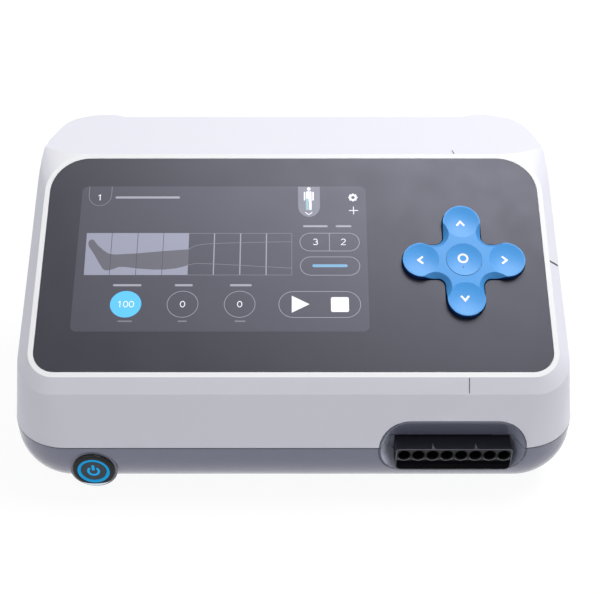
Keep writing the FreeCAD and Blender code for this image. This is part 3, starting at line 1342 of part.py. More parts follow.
def make_manifold():
    half = S.port_pitch * PORT_COUNT / 2
    block = box("manifold_block", (PORT_X - half, -S.manifold_front, S.manifold_bottom),
                (half * 2, S.manifold_deep, S.manifold_high))
    spigots = []
    length = S.tile_back - S.manifold_front - S.tail_length - S.tail_space
    for number in range(PORT_COUNT):
        x = PORT_FIRST_X + S.port_pitch * number
        spigots.append(cylinder("manifold_spigot_%d" % number, S.tail_radius, length + 1, x,
                                -S.manifold_front + 1, S.port_z, 90))
    legs = []
    for number, sign in enumerate((-1, 1)):
        legs.append(box("manifold_leg_%d" % number,
                        (PORT_X + (half - S.leg_offset) * sign - S.leg_width / 2,
                         -S.manifold_front + S.leg_inset, FLOOR_TOP),
                        (S.leg_width, S.manifold_deep - S.leg_inset * 2,
                         S.manifold_bottom - FLOOR_TOP + 1)))
    inlet = cylinder_along_x("manifold_inlet", S.spigot_radius, S.spigot_length,
                             PORT_X - half - S.spigot_length + 1,
                             -S.manifold_front + S.manifold_deep / 2, manifold_inlet_z())
    node(fuse("valve_manifold", block, inlet, *(spigots + legs)), "valve_manifold")
    valves = []
    top = S.manifold_bottom + S.manifold_high
    for row in (0, 1):
        y = -S.manifold_front + S.manifold_deep / 2 + S.valve_row * (row - 0.5)
        for column in range(4):
            x = PORT_X + S.port_pitch * 2 * (column - 1.5)
            coil = cylinder("valve_coil_%d_%d" % (row, column), S.valve_radius, S.valve_high,
                            x, y, top)
            tip = cylinder("valve_tip_%d_%d" % (row, column), S.valve_tip_radius,
                           S.valve_tip_high, x, y, top + S.valve_high)
            valves.append(fuse("valve_%d_%d" % (row, column), coil, tip))
    node(group("valve_set", *valves), "solenoid_valves")


def manifold_inlet_z():
    return S.manifold_bottom + S.manifold_high / 2


# ---------------------------------------------------------------- air pump

HEAD_SLOTS = 5


def pump_mount_points():
    half_x = S.pump_plate_width / 2 - S.pump_mount_inset
    half_y = S.pump_plate_deep / 2 - S.pump_mount_inset
    return [(PUMP_X + x, S.pump_y + y) for x in (-half_x, half_x) for y in (-half_y, half_y)]


def make_pump():
    plate_low = FLOOR_TOP + S.pump_mount_high
    plate_top = plate_low + S.pump_plate_thick
    mounts = []
    for number, (x, y) in enumerate(pump_mount_points()):
        waist = S.pump_mount_radius - S.pump_mount_waist
        slope = S.pump_mount_slope
        third = S.pump_mount_high / 3
        mount = revolved_body("pump_mount_body_%d" % number,
                              ((0, 0), (S.pump_mount_radius, 0), (S.pump_mount_radius, third),
                               (waist, third + slope), (waist, third * 2 - slope),
                               (S.pump_mount_radius, third * 2),
                               (S.pump_mount_radius, S.pump_mount_high),
                               (0, S.pump_mount_high)))
        mounts.append(place(mount, x, y, FLOOR_TOP))
    node(group("pump_mount_set", *mounts), "pump_mounts")

    left = PUMP_X - S.pump_plate_width / 2
    plate = box("pump_plate_sheet", (left, S.pump_y - S.pump_plate_deep / 2, plate_low),
                (S.pump_plate_width, S.pump_plate_deep, S.pump_plate_thick))
    motor_z = plate_top + S.pump_saddle_high + S.motor_radius
    motor_left = left + S.motor_inset
    saddle_places = (motor_left + S.saddle_inset,
                     motor_left + S.motor_length - S.saddle_inset - S.saddle_width)
    saddles = [box("saddle_block_%d" % number,
                   (x, S.pump_y - S.saddle_deep / 2, plate_low + S.pump_plate_thick / 2),
                   (S.saddle_width, S.saddle_deep, S.pump_saddle_high + S.motor_radius / 2))
               for number, x in enumerate(saddle_places)]
    hollow = cylinder_along_x("saddle_hollow", S.motor_radius + S.motor_gap, S.motor_length + 2,
                              motor_left - 1, S.pump_y, motor_z)
    node(cut("pump_plate", fuse("pump_plate_solid", plate, *saddles), hollow), "pump_plate")

    can = cylinder_along_x("motor_can", S.motor_radius, S.motor_length, motor_left,
                           S.pump_y, motor_z)
    rear = cylinder_along_x("motor_rear", S.motor_tail_radius, S.motor_tail_long,
                            motor_left - S.motor_tail_long + 0.5, S.pump_y, motor_z)
    node(fuse("pump_motor", can, rear), "pump_motor")

    head_left = motor_left + S.motor_length + S.motor_gap
    head = box("pump_head_block",
               (head_left, S.pump_y - S.pump_head_deep / 2, plate_top + S.motor_gap),
               (S.pump_head_width, S.pump_head_deep, S.pump_head_high))
    fins = [box("pump_slot_%d" % number,
                (head_left + S.head_slot_inset + S.head_slot_pitch * number,
                 S.pump_y - S.pump_head_deep / 2 - 1,
                 plate_top + S.pump_head_high - S.head_slot_deep),
                (S.head_slot_width, S.pump_head_deep + 2, S.head_slot_deep + 1))
            for number in range(HEAD_SLOTS)]
    spigot = cylinder_along_x("pump_spigot", S.spigot_radius, S.spigot_length,
                              head_left + S.pump_head_width - 1, S.pump_y, S.spigot_z)
    node(fuse("pump_head", cut("pump_head_finned", head, *fins), spigot), "pump_head")


def make_hose():
    """The air line from the pump head to the manifold, on straight runs and round bends."""
    start_x = (PUMP_X - S.pump_plate_width / 2 + S.motor_inset + S.motor_length
               + S.motor_gap + S.pump_head_width).value
    end_x = (PORT_X - S.port_pitch * PORT_COUNT / 2).value
    y_start = S.pump_y.value
    y_end = (-S.manifold_front + S.manifold_deep / 2).value
    low_z = manifold_inlet_z().value
    points = [Vector(start_x + 0.1, y_start, S.spigot_z.value),
              Vector(S.hose_mid_x.value, y_start, S.spigot_z.value),
              Vector(S.hose_mid_x.value, y_end, low_z),
              Vector(end_x - 0.1, y_end, low_z)]
    edges = []
    here = points[0]
    for before, corner, after in zip(points, points[1:], points[2:]):
        incoming = (corner - before).normalize()
        outgoing = (after - corner).normalize()
        turn = incoming.getAngle(outgoing)
        shorter = min(before.distanceToPoint(corner), corner.distanceToPoint(after))
        radius = 0.45 * shorter / math.tan(turn / 2)
        trim = radius * math.tan(turn / 2)
        begin = corner - incoming * trim
        end = corner + outgoing * trim
        bisector = (outgoing - incoming).normalize()
        middle = corner + bisector * (radius / math.cos(turn / 2) - radius)
        edges.append(Part.LineSegment(here, begin).toShape())
        edges.append(Part.Arc(begin, middle, end).toShape())
        here = end
    edges.append(Part.LineSegment(here, points[-1]).toShape())
    path = Part.Wire(edges)
    ends = [Part.Wire(Part.Circle(points[0], Vector(1, 0, 0), radius).toShape())
            for radius in (S.hose_radius.value, S.spigot_radius.value + S.tube_gap.value)]
    outside, inside = [path.makePipeShell([ring], True, False) for ring in ends]
    hose = doc.addObject("Part::Feature", "pump_hose")
    hose.Shape = outside.cut(inside)
    node(hose, "pump_hose")


# ---------------------------------------------------------------- mains side

def standoff_points():
    half_x = S.supply_width / 2 - S.standoff_inset
    half_y = S.supply_deep / 2 - S.standoff_inset
    return [(SUPPLY_X + x, S.supply_y + y) for x in (-half_x, half_x)
            for y in (-half_y, half_y)]


def make_power_supply():
    stands = [cylinder("standoff_%d" % number, S.standoff_radius, S.standoff_high, x, y,
                       FLOOR_TOP)
              for number, (x, y) in enumerate(standoff_points())]
    node(group("standoff_set", *stands), "supply_standoffs")
    low = FLOOR_TOP + S.standoff_high
    top = low + S.board_thick
    left = SUPPLY_X - S.supply_width / 2
    front = S.supply_y - S.supply_deep / 2
    board = box("supply_sheet", (left, front, low),
                (S.supply_width, S.supply_deep, S.board_thick))
    width, deep = S.supply_width, S.supply_deep
    seat = top - S.solder_sink
    pieces = [box("transformer", (left + width * 0.31, front + deep * 0.17, seat),
                  (width * 0.36, deep * 0.61, S.transformer_high)),
              box("heat_sink", (left + width * 0.71, front + deep * 0.17, seat),
                  (width * 0.05, deep * 0.65, S.heat_sink_high)),
              box("choke", (left + width * 0.81, front + deep * 0.26, seat),
                  (width * 0.14, deep * 0.43, S.choke_high)),
              cylinder("reservoir", S.reservoir_radius, S.reservoir_high,
                       left + width * 0.16, front + deep * 0.26, seat),
              cylinder("smoothing", S.smoothing_radius, S.smoothing_high,
                       left + width * 0.14, front + deep * 0.74, seat)]
    node(fuse("power_supply", board, *pieces), "power_supply")


def make_inlet():
    flange = new_body("inlet_flange_body")
    plate = body_sketch(flange, "inlet_flange_outline")
    half_x = S.inlet_flange_width / 2
    half_z = S.inlet_flange_high / 2
    add_rounded_box(plate, -half_x, half_x, -half_z, half_z, S.inlet_corner, S.inlet_corner)
    add_pad(flange, "inlet_flange_pad", plate, S.inlet_flange_thick)
    shell = body_sketch(flange, "inlet_body_outline")
    half_bx = S.inlet_body_width / 2
    half_bz = S.inlet_body_high / 2
    add_rounded_box(shell, -half_bx, half_bx, -half_bz, half_bz, S.inlet_body_corner,
                    S.inlet_body_corner)
    add_pad(flange, "inlet_body_pad", shell, S.inlet_body_deep, True)
    cavity = body_sketch(flange, "inlet_cavity_outline", offset=S.inlet_flange_thick)
    half_cx = S.inlet_cavity_width / 2
    half_cz = S.inlet_cavity_high / 2
    nick = S.inlet_nick
    add_polygon(cavity, ((-half_cx + nick, -half_cz), (half_cx - nick, -half_cz),
                         (half_cx, -half_cz + nick), (half_cx, half_cz), (-half_cx, half_cz),
                         (-half_cx, -half_cz + nick)))
    add_pocket(flange, "inlet_cavity", cavity, S.inlet_cavity_deep)
    doc.recompute()
    place(flange, INLET_X, S.inlet_seat_y, S.inlet_z, -90)
    node(flange, "mains_inlet")
    pins = []
    floor_y = S.inlet_seat_y + S.inlet_flange_thick - S.inlet_cavity_deep
    for number, (step, drop) in enumerate(((-1, 1), (0, -1), (1, 1))):
        x = INLET_X + S.inlet_pin_pitch * step - S.inlet_pin_thick / 2
        z = S.inlet_z - S.inlet_pin_drop * drop - S.inlet_pin_wide / 2
        pins.append(box("inlet_pin_%d" % number, (x, floor_y + S.inlet_pin_gap, z),
                        (S.inlet_pin_thick, S.inlet_cavity_deep - S.inlet_pin_short,
                         S.inlet_pin_wide)))
    node(group("inlet_pin_set", *pins), "inlet_pins")


# ---------------------------------------------------------------- cooling fan

def make_fan():
    wall_y = S.fan_back_y
    half = S.fan_size / 2
    frame = new_body("fan_frame_body")
    outline = body_sketch(frame, "fan_frame_outline")
    add_rounded_box(outline, -half, half, -half, half, S.fan_corner, S.fan_corner)
    add_circle(outline, 0, 0, S.fan_bore_radius)
    for x in (-1, 1):
        for y in (-1, 1):
            add_circle(outline, S.fan_hole_pitch / 2 * x, S.fan_hole_pitch / 2 * y,
                       S.screw_radius + S.screw_clearance)
    add_pad(frame, "fan_frame_pad", outline, S.fan_deep)
    doc.recompute()
    place(frame, S.fan_x, wall_y - S.fan_deep, S.fan_z, -90)
    strut_deep = S.strut_deep
    reach = S.fan_bore_radius + S.strut_root
    middle = S.strut_width / 2
    front = wall_y - S.fan_deep
    struts = [box("fan_strut_x", (S.fan_x - reach, front, S.fan_z - middle),
                  (reach * 2, strut_deep, S.strut_width)),
              box("fan_strut_z", (S.fan_x - middle, front, S.fan_z - reach),
                  (S.strut_width, strut_deep, reach * 2)),
              cylinder("fan_hub_seat", S.fan_hub_radius, strut_deep, S.fan_x,
                       front + strut_deep, S.fan_z, 90),
              cylinder("fan_shaft", S.fan_shaft_radius, S.fan_deep - S.shaft_short, S.fan_x,
                       wall_y - S.shaft_short, S.fan_z, 90)]
    node(fuse("fan_frame", frame, *struts), "fan_frame")

    rotor = new_body("fan_rotor_body")
    hub = body_sketch(rotor, "fan_hub_outline")
    add_circle(hub, 0, 0, S.fan_hub_radius)
    hub_high = S.fan_deep - strut_deep - S.fan_end_gap * 2
    add_pad(rotor, "fan_hub", hub, hub_high)
    hollow = body_sketch(rotor, "fan_hub_bore")
    add_circle(hollow, 0, 0, S.fan_shaft_radius + S.fan_shaft_gap)
    add_pocket(rotor, "fan_bore", hollow, hub_high - S.hub_cap, True)
    doc.recompute()
    blade = body_sketch(rotor, "fan_blade_outline", "YZ_Plane",
                        S.fan_hub_radius - S.blade_root)
    lean = hub_high / 2
    chord = S.fan_blade_thick * S.blade_lean
    top = hub_high - S.blade_edge
    add_polygon(blade, ((-lean, S.blade_edge), (-lean + chord, S.blade_edge), (lean, top),
                        (lean - chord, top)))
    vane = add_pad(rotor, "fan_blade", blade,
                   S.fan_tip_radius - S.fan_hub_radius - S.blade_root)
    doc.recompute()
    add_polar_copies(rotor, "fan_blades", [vane], 7)
    doc.recompute()
    start = wall_y - S.fan_deep + strut_deep + S.fan_end_gap
    node(place(rotor, S.fan_x, start, S.fan_z, -90), "fan_rotor")

    screws = []
    for number, (x, z) in enumerate(fan_screw_points()):
        seat = S.fan_screw_seat
        shank = cylinder("fan_shank_%d" % number, S.screw_radius,
                         S.fan_deep + seat - S.fan_back_y, x, seat, z, 90)
        head = cylinder("fan_screw_head_%d" % number, S.screw_head_radius, S.fan_head_high,
                        x, seat + S.fan_head_high, z, 90)
        screws.append(fuse("fan_screw_%d" % number, shank, head))
    node(group("fan_screw_set", *screws), "fan_screws")


# ---------------------------------------------------------------- build, check and write

def check_document():
    """Stop with a list of every failed object and every unsound sub-part."""
    faults = ["%s: %s" % (item.Name, ", ".join(item.State)) for item in doc.Objects
              if "Invalid" in item.State or "Error" in item.State]
    for item in NODES:
        shape = item.Shape
        if shape.isNull() or not shape.isValid() or not shape.Solids:
            faults.append("%s has no sound shape" % item.Label)
    if faults:
        raise RuntimeError("\n".join(faults))


def write_nodes():
    os.makedirs("parts", exist_ok=True)
    for item in NODES:
        item.Shape.exportStep(os.path.join("parts", item.Label + ".step"))


def main():
    make_upper_housing()
    make_base_shell()
    make_feet()
    make_case_screws()
    make_glass_panel()
    make_display()
    make_main_board()
    make_key_board()
    make_panel_screws()
    make_pivot_ring()
    make_pivot_posts()
    make_cross_key()
    make_centre_button()
    make_power_switch()
    make_port_surround()
    make_port_block()
    make_port_sleeves()
    make_port_tubes()
    make_manifold()
    make_pump()
    make_hose()
    make_power_supply()
    make_inlet()
    make_fan()
    doc.recompute()
    check_document()
    write_nodes()


main()
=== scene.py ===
import json
import math

import bpy
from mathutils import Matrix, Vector
from mathutils.bvhtree import BVHTree


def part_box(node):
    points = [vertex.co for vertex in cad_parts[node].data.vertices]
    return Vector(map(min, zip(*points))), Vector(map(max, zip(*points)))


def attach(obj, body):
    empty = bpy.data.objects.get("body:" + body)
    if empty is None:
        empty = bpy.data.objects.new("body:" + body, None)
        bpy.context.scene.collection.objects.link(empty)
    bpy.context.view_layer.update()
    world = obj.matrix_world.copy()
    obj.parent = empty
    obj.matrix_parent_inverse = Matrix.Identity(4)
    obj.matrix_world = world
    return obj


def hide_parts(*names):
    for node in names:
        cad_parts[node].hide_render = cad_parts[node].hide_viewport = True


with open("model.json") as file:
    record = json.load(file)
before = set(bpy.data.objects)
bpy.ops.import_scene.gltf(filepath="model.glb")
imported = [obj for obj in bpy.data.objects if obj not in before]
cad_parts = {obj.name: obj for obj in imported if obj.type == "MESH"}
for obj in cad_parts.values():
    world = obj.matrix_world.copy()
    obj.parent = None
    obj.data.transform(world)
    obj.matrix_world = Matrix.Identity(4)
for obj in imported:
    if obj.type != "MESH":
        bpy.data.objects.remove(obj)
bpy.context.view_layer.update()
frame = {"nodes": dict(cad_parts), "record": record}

# Sizes of the object are millimetres, and MM of them make one of Blender's metres.
# Sizes in materials and on the stage are metres.
MM = 1000

# The control panel's own plane: u across, v up the slope, w above it.
TILT = math.radians(29.0)
PANEL_FRONT = (-77.6, 82.1)             # y and z where v is 0
PANEL_NORMAL = (0, -math.sin(TILT), math.cos(TILT))

# The four-way key. Its lobes and its centre button have dishes, cut by a sphere.
KEY = (89.5, 61.5)                      # u and v of its middle
LOBE = 22.25                            # from there to the middle of a lobe
DISH_SPHERE = 35.87
KEY_FLOOR, BUTTON_FLOOR = 2.1, 2.3      # the lowest point of a dish above the panel
ARROWS = (                              # name, way to the lobe, shift of the arrow on it
    ("left", -1, 0, -0.4, 0.2), ("right", 1, 0, -1.0, 0.2),
    ("up", 0, 1, -0.5, -0.5), ("down", 0, -1, -0.7, 0.6))
ARROW_HEAD = ((-1.2, 2.05), (1.3, 0), (-1.2, -2.05))    # along the arrow and across it

# The power switch.
POWER = (-105.0, -91.7, 25.5)           # the middle of its face
RING_EDGE = 8.62                        # the middle of the dark line round the lit ring
BEZEL_HOLE = 8.75
BEZEL_CHAMFER = 0.15                    # at the edge of the hole
BEZEL_SOFT, BEZEL_SOFT_DEEP = 1.5, 1.2  # the rounded outer edge, across and along the axis
BEZEL_ARC, BEZEL_TURNS = 10, 128        # steps of that edge and round the bezel
SHARP = math.radians(35)                # edges that turn more than this stay sharp
# A painted reflection of bright metal lies outside a circle whose middle is this far above the
# bezel's own.
LIP_RISE, LIP_RADIUS, LIP_BLUR = 12.0, 20.95, 0.1

# The seam between the shells, drawn as a strip from its low to its high edge.
SEAM_LOW, SEAM_HIGH = 40.55, 41.05
SEAM_STEPS = 720
SEAM_ABOVE = 0.04
SEAM_WIDEST, SEAM_LONGEST = 0.001, 0.004    # a face of more metres would bridge a gap

# Rays that look for a surface start outside the case, in front of it or 300 away.
IN_FRONT, AROUND = -200, 300

# The recess of the air ports. Pairs are sizes at its mouth and at its floor.
SCOOP_MIDDLE = (82.5, 40.0)             # x and z
SCOOP_Y = (-92.5, -79.1)
SCOOP_BESIDE = (9.0, 2.9)               # room between its side and the port block
SCOOP_HALF_HIGH = (21.05, 11.05)
SCOOP_CORNER = (20.95, 6.0)
SCOOP_START = -89                       # a first guess at the y of its edge
SCOOP_TRIES = 4
JOINT_SIDE = 0.3                        # how far beside the joint the shells are felt for

# The block of air ports. Its edge, drawn as a painted highlight, runs a little inside the solid's.
PORTS, RIBBED_PORTS = range(1, 9), (3, 6)
BLOCK_EDGE = 0.3
BLOCK_LOW_CORNER, BLOCK_HIGH_CORNER = 3.2, 2.2
RIB_HIGH = 0.5
RIB_FACE = ((-0.7, 0.1), (0.7, 0.1), (0.1, 3.9), (-0.1, 3.9))     # across it and to the back
MOUTH_RADIUS, PORT_LIP_RADIUS = 3.3, 3.72
PORT_STROKE = 0.42

LAYER = 0.02                            # marks lie one or more layers above a surface


def panel(u, v, w):
    y = PANEL_FRONT[0] + v * math.cos(TILT) - w * math.sin(TILT)
    z = PANEL_FRONT[1] + v * math.sin(TILT) + w * math.cos(TILT)
    return Vector((u, y, z)) / MM


# ---------------------------------------------------------------- materials

NOISE_LOW, NOISE_HIGH = 0.3, 0.7        # most of a noise lies between these
FINE_LINES = (1, 1, 40)                 # how metal's noise is stretched into lines
PANEL_SHEEN = (0.94, 0.94, 1.14, 1)
SIDEWAYS = (1, 0, 0)
FORWARDS = (0, -1, 0)


def srgb(red, green, blue):
    """A colour written as 0 to 255 screen values, as the linear one that a shader takes."""
    def linear(value):
        value = value / 255
        return value / 12.92 if value <= 0.04045 else ((value + 0.055) / 1.055) ** 2.4
    return (linear(red), linear(green), linear(blue), 1.0)


def add_node(tree, kind, **values):
    item = tree.nodes.new(kind)
    for name, value in values.items():
        setattr(item, name, value)
    return item


def ramp(tree, source, start, end, low=0.0, high=1.0):
    """A value that goes from low to high while the source goes from start to end."""
    item = add_node(tree, "ShaderNodeMapRange")
    for name, value in (("From Min", start), ("From Max", end), ("To Min", low), ("To Max", high)):
        item.inputs[name].default_value = value
    tree.links.new(source, item.inputs["Value"])
    return item.outputs["Result"]


def mix_colour(tree, share, first, second):
    """The first colour where the share is 0, the second where it is 1. Each may be a socket."""
    item = add_node(tree, "ShaderNodeMix", data_type="RGBA")
    for name, colour in (("A", first), ("B", second)):
        if isinstance(colour, bpy.types.NodeSocket):
            tree.links.new(colour, item.inputs[name])
        else:
            item.inputs[name].default_value = colour
    tree.links.new(share, item.inputs["Factor"])
    return item.outputs["Result"]


class Shader:
    """A material's node tree, built from the surface backwards."""

    def __init__(self, name):
        self.material = bpy.data.materials.new(name)
        self.material.use_nodes = True
        self.tree = self.material.node_tree
        self.tree.nodes.clear()
        self.output = self.add("ShaderNodeOutputMaterial")
        self.surface = self.add("ShaderNodeBsdfPrincipled")
        self.link(self.surface.outputs[0], self.output.inputs["Surface"])

    def link(self, source, target):
        self.tree.links.new(source, target)

    def add(self, kind, **values):
        return add_node(self.tree, kind, **values)

    def set(self, **values):
        for name, value in values.items():
            self.surface.inputs[name.replace("_", " ")].default_value = value

    def noise(self, scale, detail, stretch=None):
        item = self.add("ShaderNodeTexNoise")
        item.inputs["Scale"].default_value = scale
        item.inputs["Detail"].default_value = detail
        source = self.add("ShaderNodeTexCoord").outputs["Object"]
        if stretch:
            mapping = self.add("ShaderNodeMapping")
            mapping.inputs["Scale"].default_value = stretch
            self.link(source, mapping.inputs["Vector"])
            source = mapping.outputs["Vector"]
        self.link(source, item.inputs["Vector"])
        return item.outputs["Fac"]

    def spread(self, source, low, high):
        """Move a noise into a range."""
        return ramp(self.tree, source, NOISE_LOW, NOISE_HIGH, low, high)

    def tint(self, colour, source, amount):
        """Make the colour a little lighter and darker with the noise."""
        darker, lighter = ([min(1, part * share) for part in colour[:3]] + [1]
                           for share in (1 - amount, 1 + amount))
        tone = mix_colour(self.tree, self.spread(source, 0.0, 1.0), darker, lighter)
        self.link(tone, self.surface.inputs["Base Color"])

    def roughen(self, source, rough, change):
        """Make the surface a little rougher and smoother with the noise."""
        self.link(self.spread(source, rough - change, rough + change),
                  self.surface.inputs["Roughness"])

    def bump(self, source, depth, strength):
        item = self.add("ShaderNodeBump")
        item.inputs["Distance"].default_value = depth
        item.inputs["Strength"].default_value = strength
        self.link(source, item.inputs["Height"])
        self.link(item.outputs["Normal"], self.surface.inputs["Normal"])


def moulded(name, colour, rough=0.4, grain=2400, depth=0.00003, shift=0.03, **values):
    """Moulded plastic or rubber: a fine grain, and slow changes of tone and gloss."""
    shader = Shader(name)
    shader.set(Base_Color=colour, **values)
    slow = shader.noise(scale=18, detail=3.0)
    shader.tint(colour, slow, shift)
    shader.roughen(slow, rough, change=0.04)
    shader.bump(shader.noise(grain, detail=2.0), depth, strength=0.4)
    return shader.material


def metal(name, colour, rough=0.3):
    """Drawn or turned metal with fine lines along it."""
    shader = Shader(name)
    shader.set(Base_Color=colour, Metallic=1.0)
    lines = shader.noise(scale=900, detail=3.0, stretch=FINE_LINES)
    shader.tint(colour, lines, amount=0.06)
    shader.roughen(lines, rough, change=0.06)
    shader.bump(lines, depth=0.00002, strength=0.3)
    return shader.material


def lit(name, colour, light, strength, rough=0.42, gloss=0.45):
    """A smooth face of the panel or the switch, with light behind it."""
    shader = Shader(name)
    shader.set(Base_Color=colour, Roughness=rough, Emission_Color=light,
               Emission_Strength=strength, Specular_IOR_Level=gloss, Specular_Tint=PANEL_SHEEN)
    shader.roughen(shader.noise(scale=60, detail=3.0), rough, change=0.03)
    return shader.material


def base_colour(material):
    """The socket that a material's colour goes into, and the one that it comes from."""
    target = material.node_tree.nodes["Principled BSDF"].inputs["Base Color"]
    return target, target.links[0].from_socket


def painted_light_by_facing(material, way, other, low, high, both_ways=False):
    """Paint light or shade by facing: change the colour to another one where the surface turns
    away from a direction.
    """
    tree = material.node_tree
    target, tone = base_colour(material)
    facing = add_node(tree, "ShaderNodeVectorMath", operation="DOT_PRODUCT")
    facing.inputs[1].default_value = way
    tree.links.new(add_node(tree, "ShaderNodeNewGeometry").outputs["Normal"], facing.inputs[0])
    value = facing.outputs["Value"]
    if both_ways:
        size = add_node(tree, "ShaderNodeMath", operation="ABSOLUTE")
        tree.links.new(value, size.inputs[0])
        value = size.outputs[0]
    tree.links.new(mix_colour(tree, ramp(tree, value, low, high), other, tone), target)
    return material


# Painted highlight: the housing's faces that lie in the panel's plane, the rim round the glass,
# are painted whiter than its other faces.
HOUSING_PAINTED_RIM = painted_light_by_facing(moulded("housing_painted_rim_highlight", srgb(252, 252, 255), 0.38, shift=0.006,
                           Specular_IOR_Level=0.13),
                   PANEL_NORMAL, srgb(237, 237, 247), low=0.93, high=0.985)
BASE = moulded("base_plastic", srgb(104, 107, 124), 0.2, Specular_IOR_Level=1.0,
               Specular_Tint=(0.93, 0.93, 1.12, 1), Coat_Weight=0.35, Coat_Roughness=0.1,
               Coat_Tint=(0.97, 0.97, 1.0, 1))
GLASS = lit("panel_glass", srgb(18, 18, 23), (0, 0, 0, 1), 0.0)
# Painted shade: the key's sides, which turn away from the panel's plane, are painted dark navy.
KEY_BLUE_PAINTED_SHADE = painted_light_by_facing(moulded("key_blue", srgb(77, 161, 235), 0.38, depth=0.00001,
                            Specular_IOR_Level=0.22),
                    PANEL_NORMAL, srgb(20, 50, 104), low=0.1, high=0.72)
# Painted light and shade: the liner of the recess is painted light on its left, less so on its
# right, and dark above and below.
SURROUND_PAINTED_LIGHT = painted_light_by_facing(painted_light_by_facing(moulded("surround_painted_light", srgb(222, 226, 242), 0.25),
                             SIDEWAYS, srgb(108, 112, 130), low=0.1, high=0.5, both_ways=True),
                    SIDEWAYS, srgb(172, 176, 194), low=-0.5, high=-0.1)
# Painted shade: this grey is painted near black wherever a surface turns away from the front, as
# inside the ports.
PORT_GREY_PAINTED_SHADE = painted_light_by_facing(moulded("port_grey", srgb(36, 36, 44), 0.35, Specular_IOR_Level=0.25),
                     FORWARDS, srgb(8, 8, 10), low=0.9, high=0.98)
FINISHES = {
    "foot_rubber": moulded("foot_rubber", srgb(38, 38, 42), 0.75, grain=900, depth=0.00008),
    "steel_screw": metal("steel_screw", srgb(196, 198, 204)),
    "display": lit("display_face", srgb(14, 14, 18), srgb(30, 32, 40), 0.4),
    "bracket_steel": metal("bracket_steel", srgb(180, 184, 190)),
    "board": moulded("circuit_board", srgb(28, 92, 62), grain=500, depth=0.00004),
    "nylon": moulded("nylon", srgb(226, 224, 214), 0.5),
    "switch_black": moulded("switch_black", srgb(30, 30, 32)),
    "bezel_metal": moulded("bezel_black", srgb(12, 12, 14), 0.15, depth=0.000004,
                           Specular_IOR_Level=0.28),
    "lit_blue": lit("ring_blue", srgb(8, 60, 84), srgb(14, 150, 210), 0.85, rough=0.3, gloss=0.1),
    "cap_grey": moulded("cap_grey", srgb(50, 66, 74), 0.35, Specular_IOR_Level=0.3),
    "barrel_black": moulded("barrel_black", srgb(24, 24, 28)),
    "port_black": moulded("port_black", srgb(39, 39, 48), 0.3),
    "slab_black": moulded("slab_black", srgb(8, 8, 14), 0.12, depth=0.000004,
                          Specular_IOR_Level=0.02),
    "tube_clear": moulded("tube_clear", srgb(206, 212, 218), 0.25),
    "manifold": moulded("manifold", srgb(52, 54, 60), 0.45),
    "coil_steel": metal("coil_steel", srgb(150, 152, 158)),
    "mount_rubber": moulded("mount_rubber", srgb(46, 46, 50), 0.8),
    "plate_steel": metal("plate_steel", srgb(188, 190, 196)),
    "motor_steel": metal("motor_steel", srgb(164, 166, 170)),
    "head_alloy": metal("head_alloy", srgb(176, 178, 184), 0.45),
    "inlet_black": moulded("inlet_black", srgb(26, 26, 28)),
    "pin_brass": metal("pin_brass", srgb(214, 186, 120)),
    "fan_black": moulded("fan_black", srgb(28, 28, 30), 0.45),
    "rotor_black": moulded("rotor_black", srgb(34, 34, 38)),
    "housing": HOUSING_PAINTED_RIM, "base": BASE, "panel_glass": GLASS, "surround": SURROUND_PAINTED_LIGHT,
    "port_grey": PORT_GREY_PAINTED_SHADE, "key_blue": KEY_BLUE_PAINTED_SHADE, "button_blue": KEY_BLUE_PAINTED_SHADE,
}

# The inks of the display, and the materials of the marks on the key, switch and shells.
INK_WHITE = lit("ink_white", srgb(60, 60, 66), srgb(250, 250, 255), 1.0)
INK_LINE = lit("ink_line", srgb(50, 50, 56), srgb(178, 178, 190), 0.75)
INK_FAINT = lit("ink_faint", srgb(40, 40, 46), srgb(160, 160, 172), 0.5)
INK_DARK = lit("ink_dark", srgb(20, 20, 24), srgb(70, 70, 78), 0.5)
INK_CYAN = lit("ink_cyan", srgb(30, 90, 120), srgb(86, 196, 255), 0.9)
INK_TEAL = lit("ink_teal", srgb(60, 74, 80), srgb(150, 192, 204), 0.85)
INK_BLUE = lit("ink_blue", srgb(40, 70, 90), srgb(120, 178, 214), 0.8)
SCREEN_LIT = lit("screen_lit", srgb(22, 22, 28), srgb(90, 92, 102), 0.32)
BLOCK_LIT = lit("block_lit", srgb(40, 40, 48), srgb(160, 162, 182), 0.8)
LIMB_LIT = lit("limb_lit", srgb(30, 30, 34), srgb(104, 104, 112), 0.68)
TAB_LIT = lit("tab_lit", srgb(36, 36, 42), srgb(150, 152, 164), 0.6)
KEY_WHITE = moulded("key_white", srgb(244, 248, 255), 0.3, depth=0.000004)
TICK_DARK = moulded("tick_dark", srgb(50, 52, 62), 0.5)
JOINT_DARK = moulded("joint_dark", srgb(38, 40, 50), 0.6, Specular_IOR_Level=0.1)
# Painted highlight for the port block's edge and the lower lips of the ports.
PAINTED_LIP_HIGHLIGHT = moulded("painted_lip_highlight", srgb(104, 106, 114))
# Painted highlight on the tops of the port ribs.
PAINTED_RIB_HIGHLIGHT = moulded("painted_rib_highlight", srgb(112, 114, 122))
# Painted shade round the mouths of the air ports.
PAINTED_MOUTH_SHADE = moulded("painted_mouth_shade", srgb(9, 9, 12), 0.5, Specular_IOR_Level=0.1)
CAP_CYAN = lit("cap_cyan", srgb(8, 84, 120), srgb(22, 160, 226), 0.85, rough=0.3, gloss=0.1)
# The colour of the painted reflection on the bezel's lower lip.
PAINTED_LIP_REFLECTION = srgb(206, 220, 230)


def dress_nodes():
    """Give every CAD node its finish by the slot that the record names."""
    for part in frame["record"]["subparts"]:
        mesh = frame["nodes"][part["node"]].data
        mesh.materials.clear()
        mesh.materials.append(FINISHES[part["material_slot"]])


# ---------------------------------------------------------------- outlines and marks

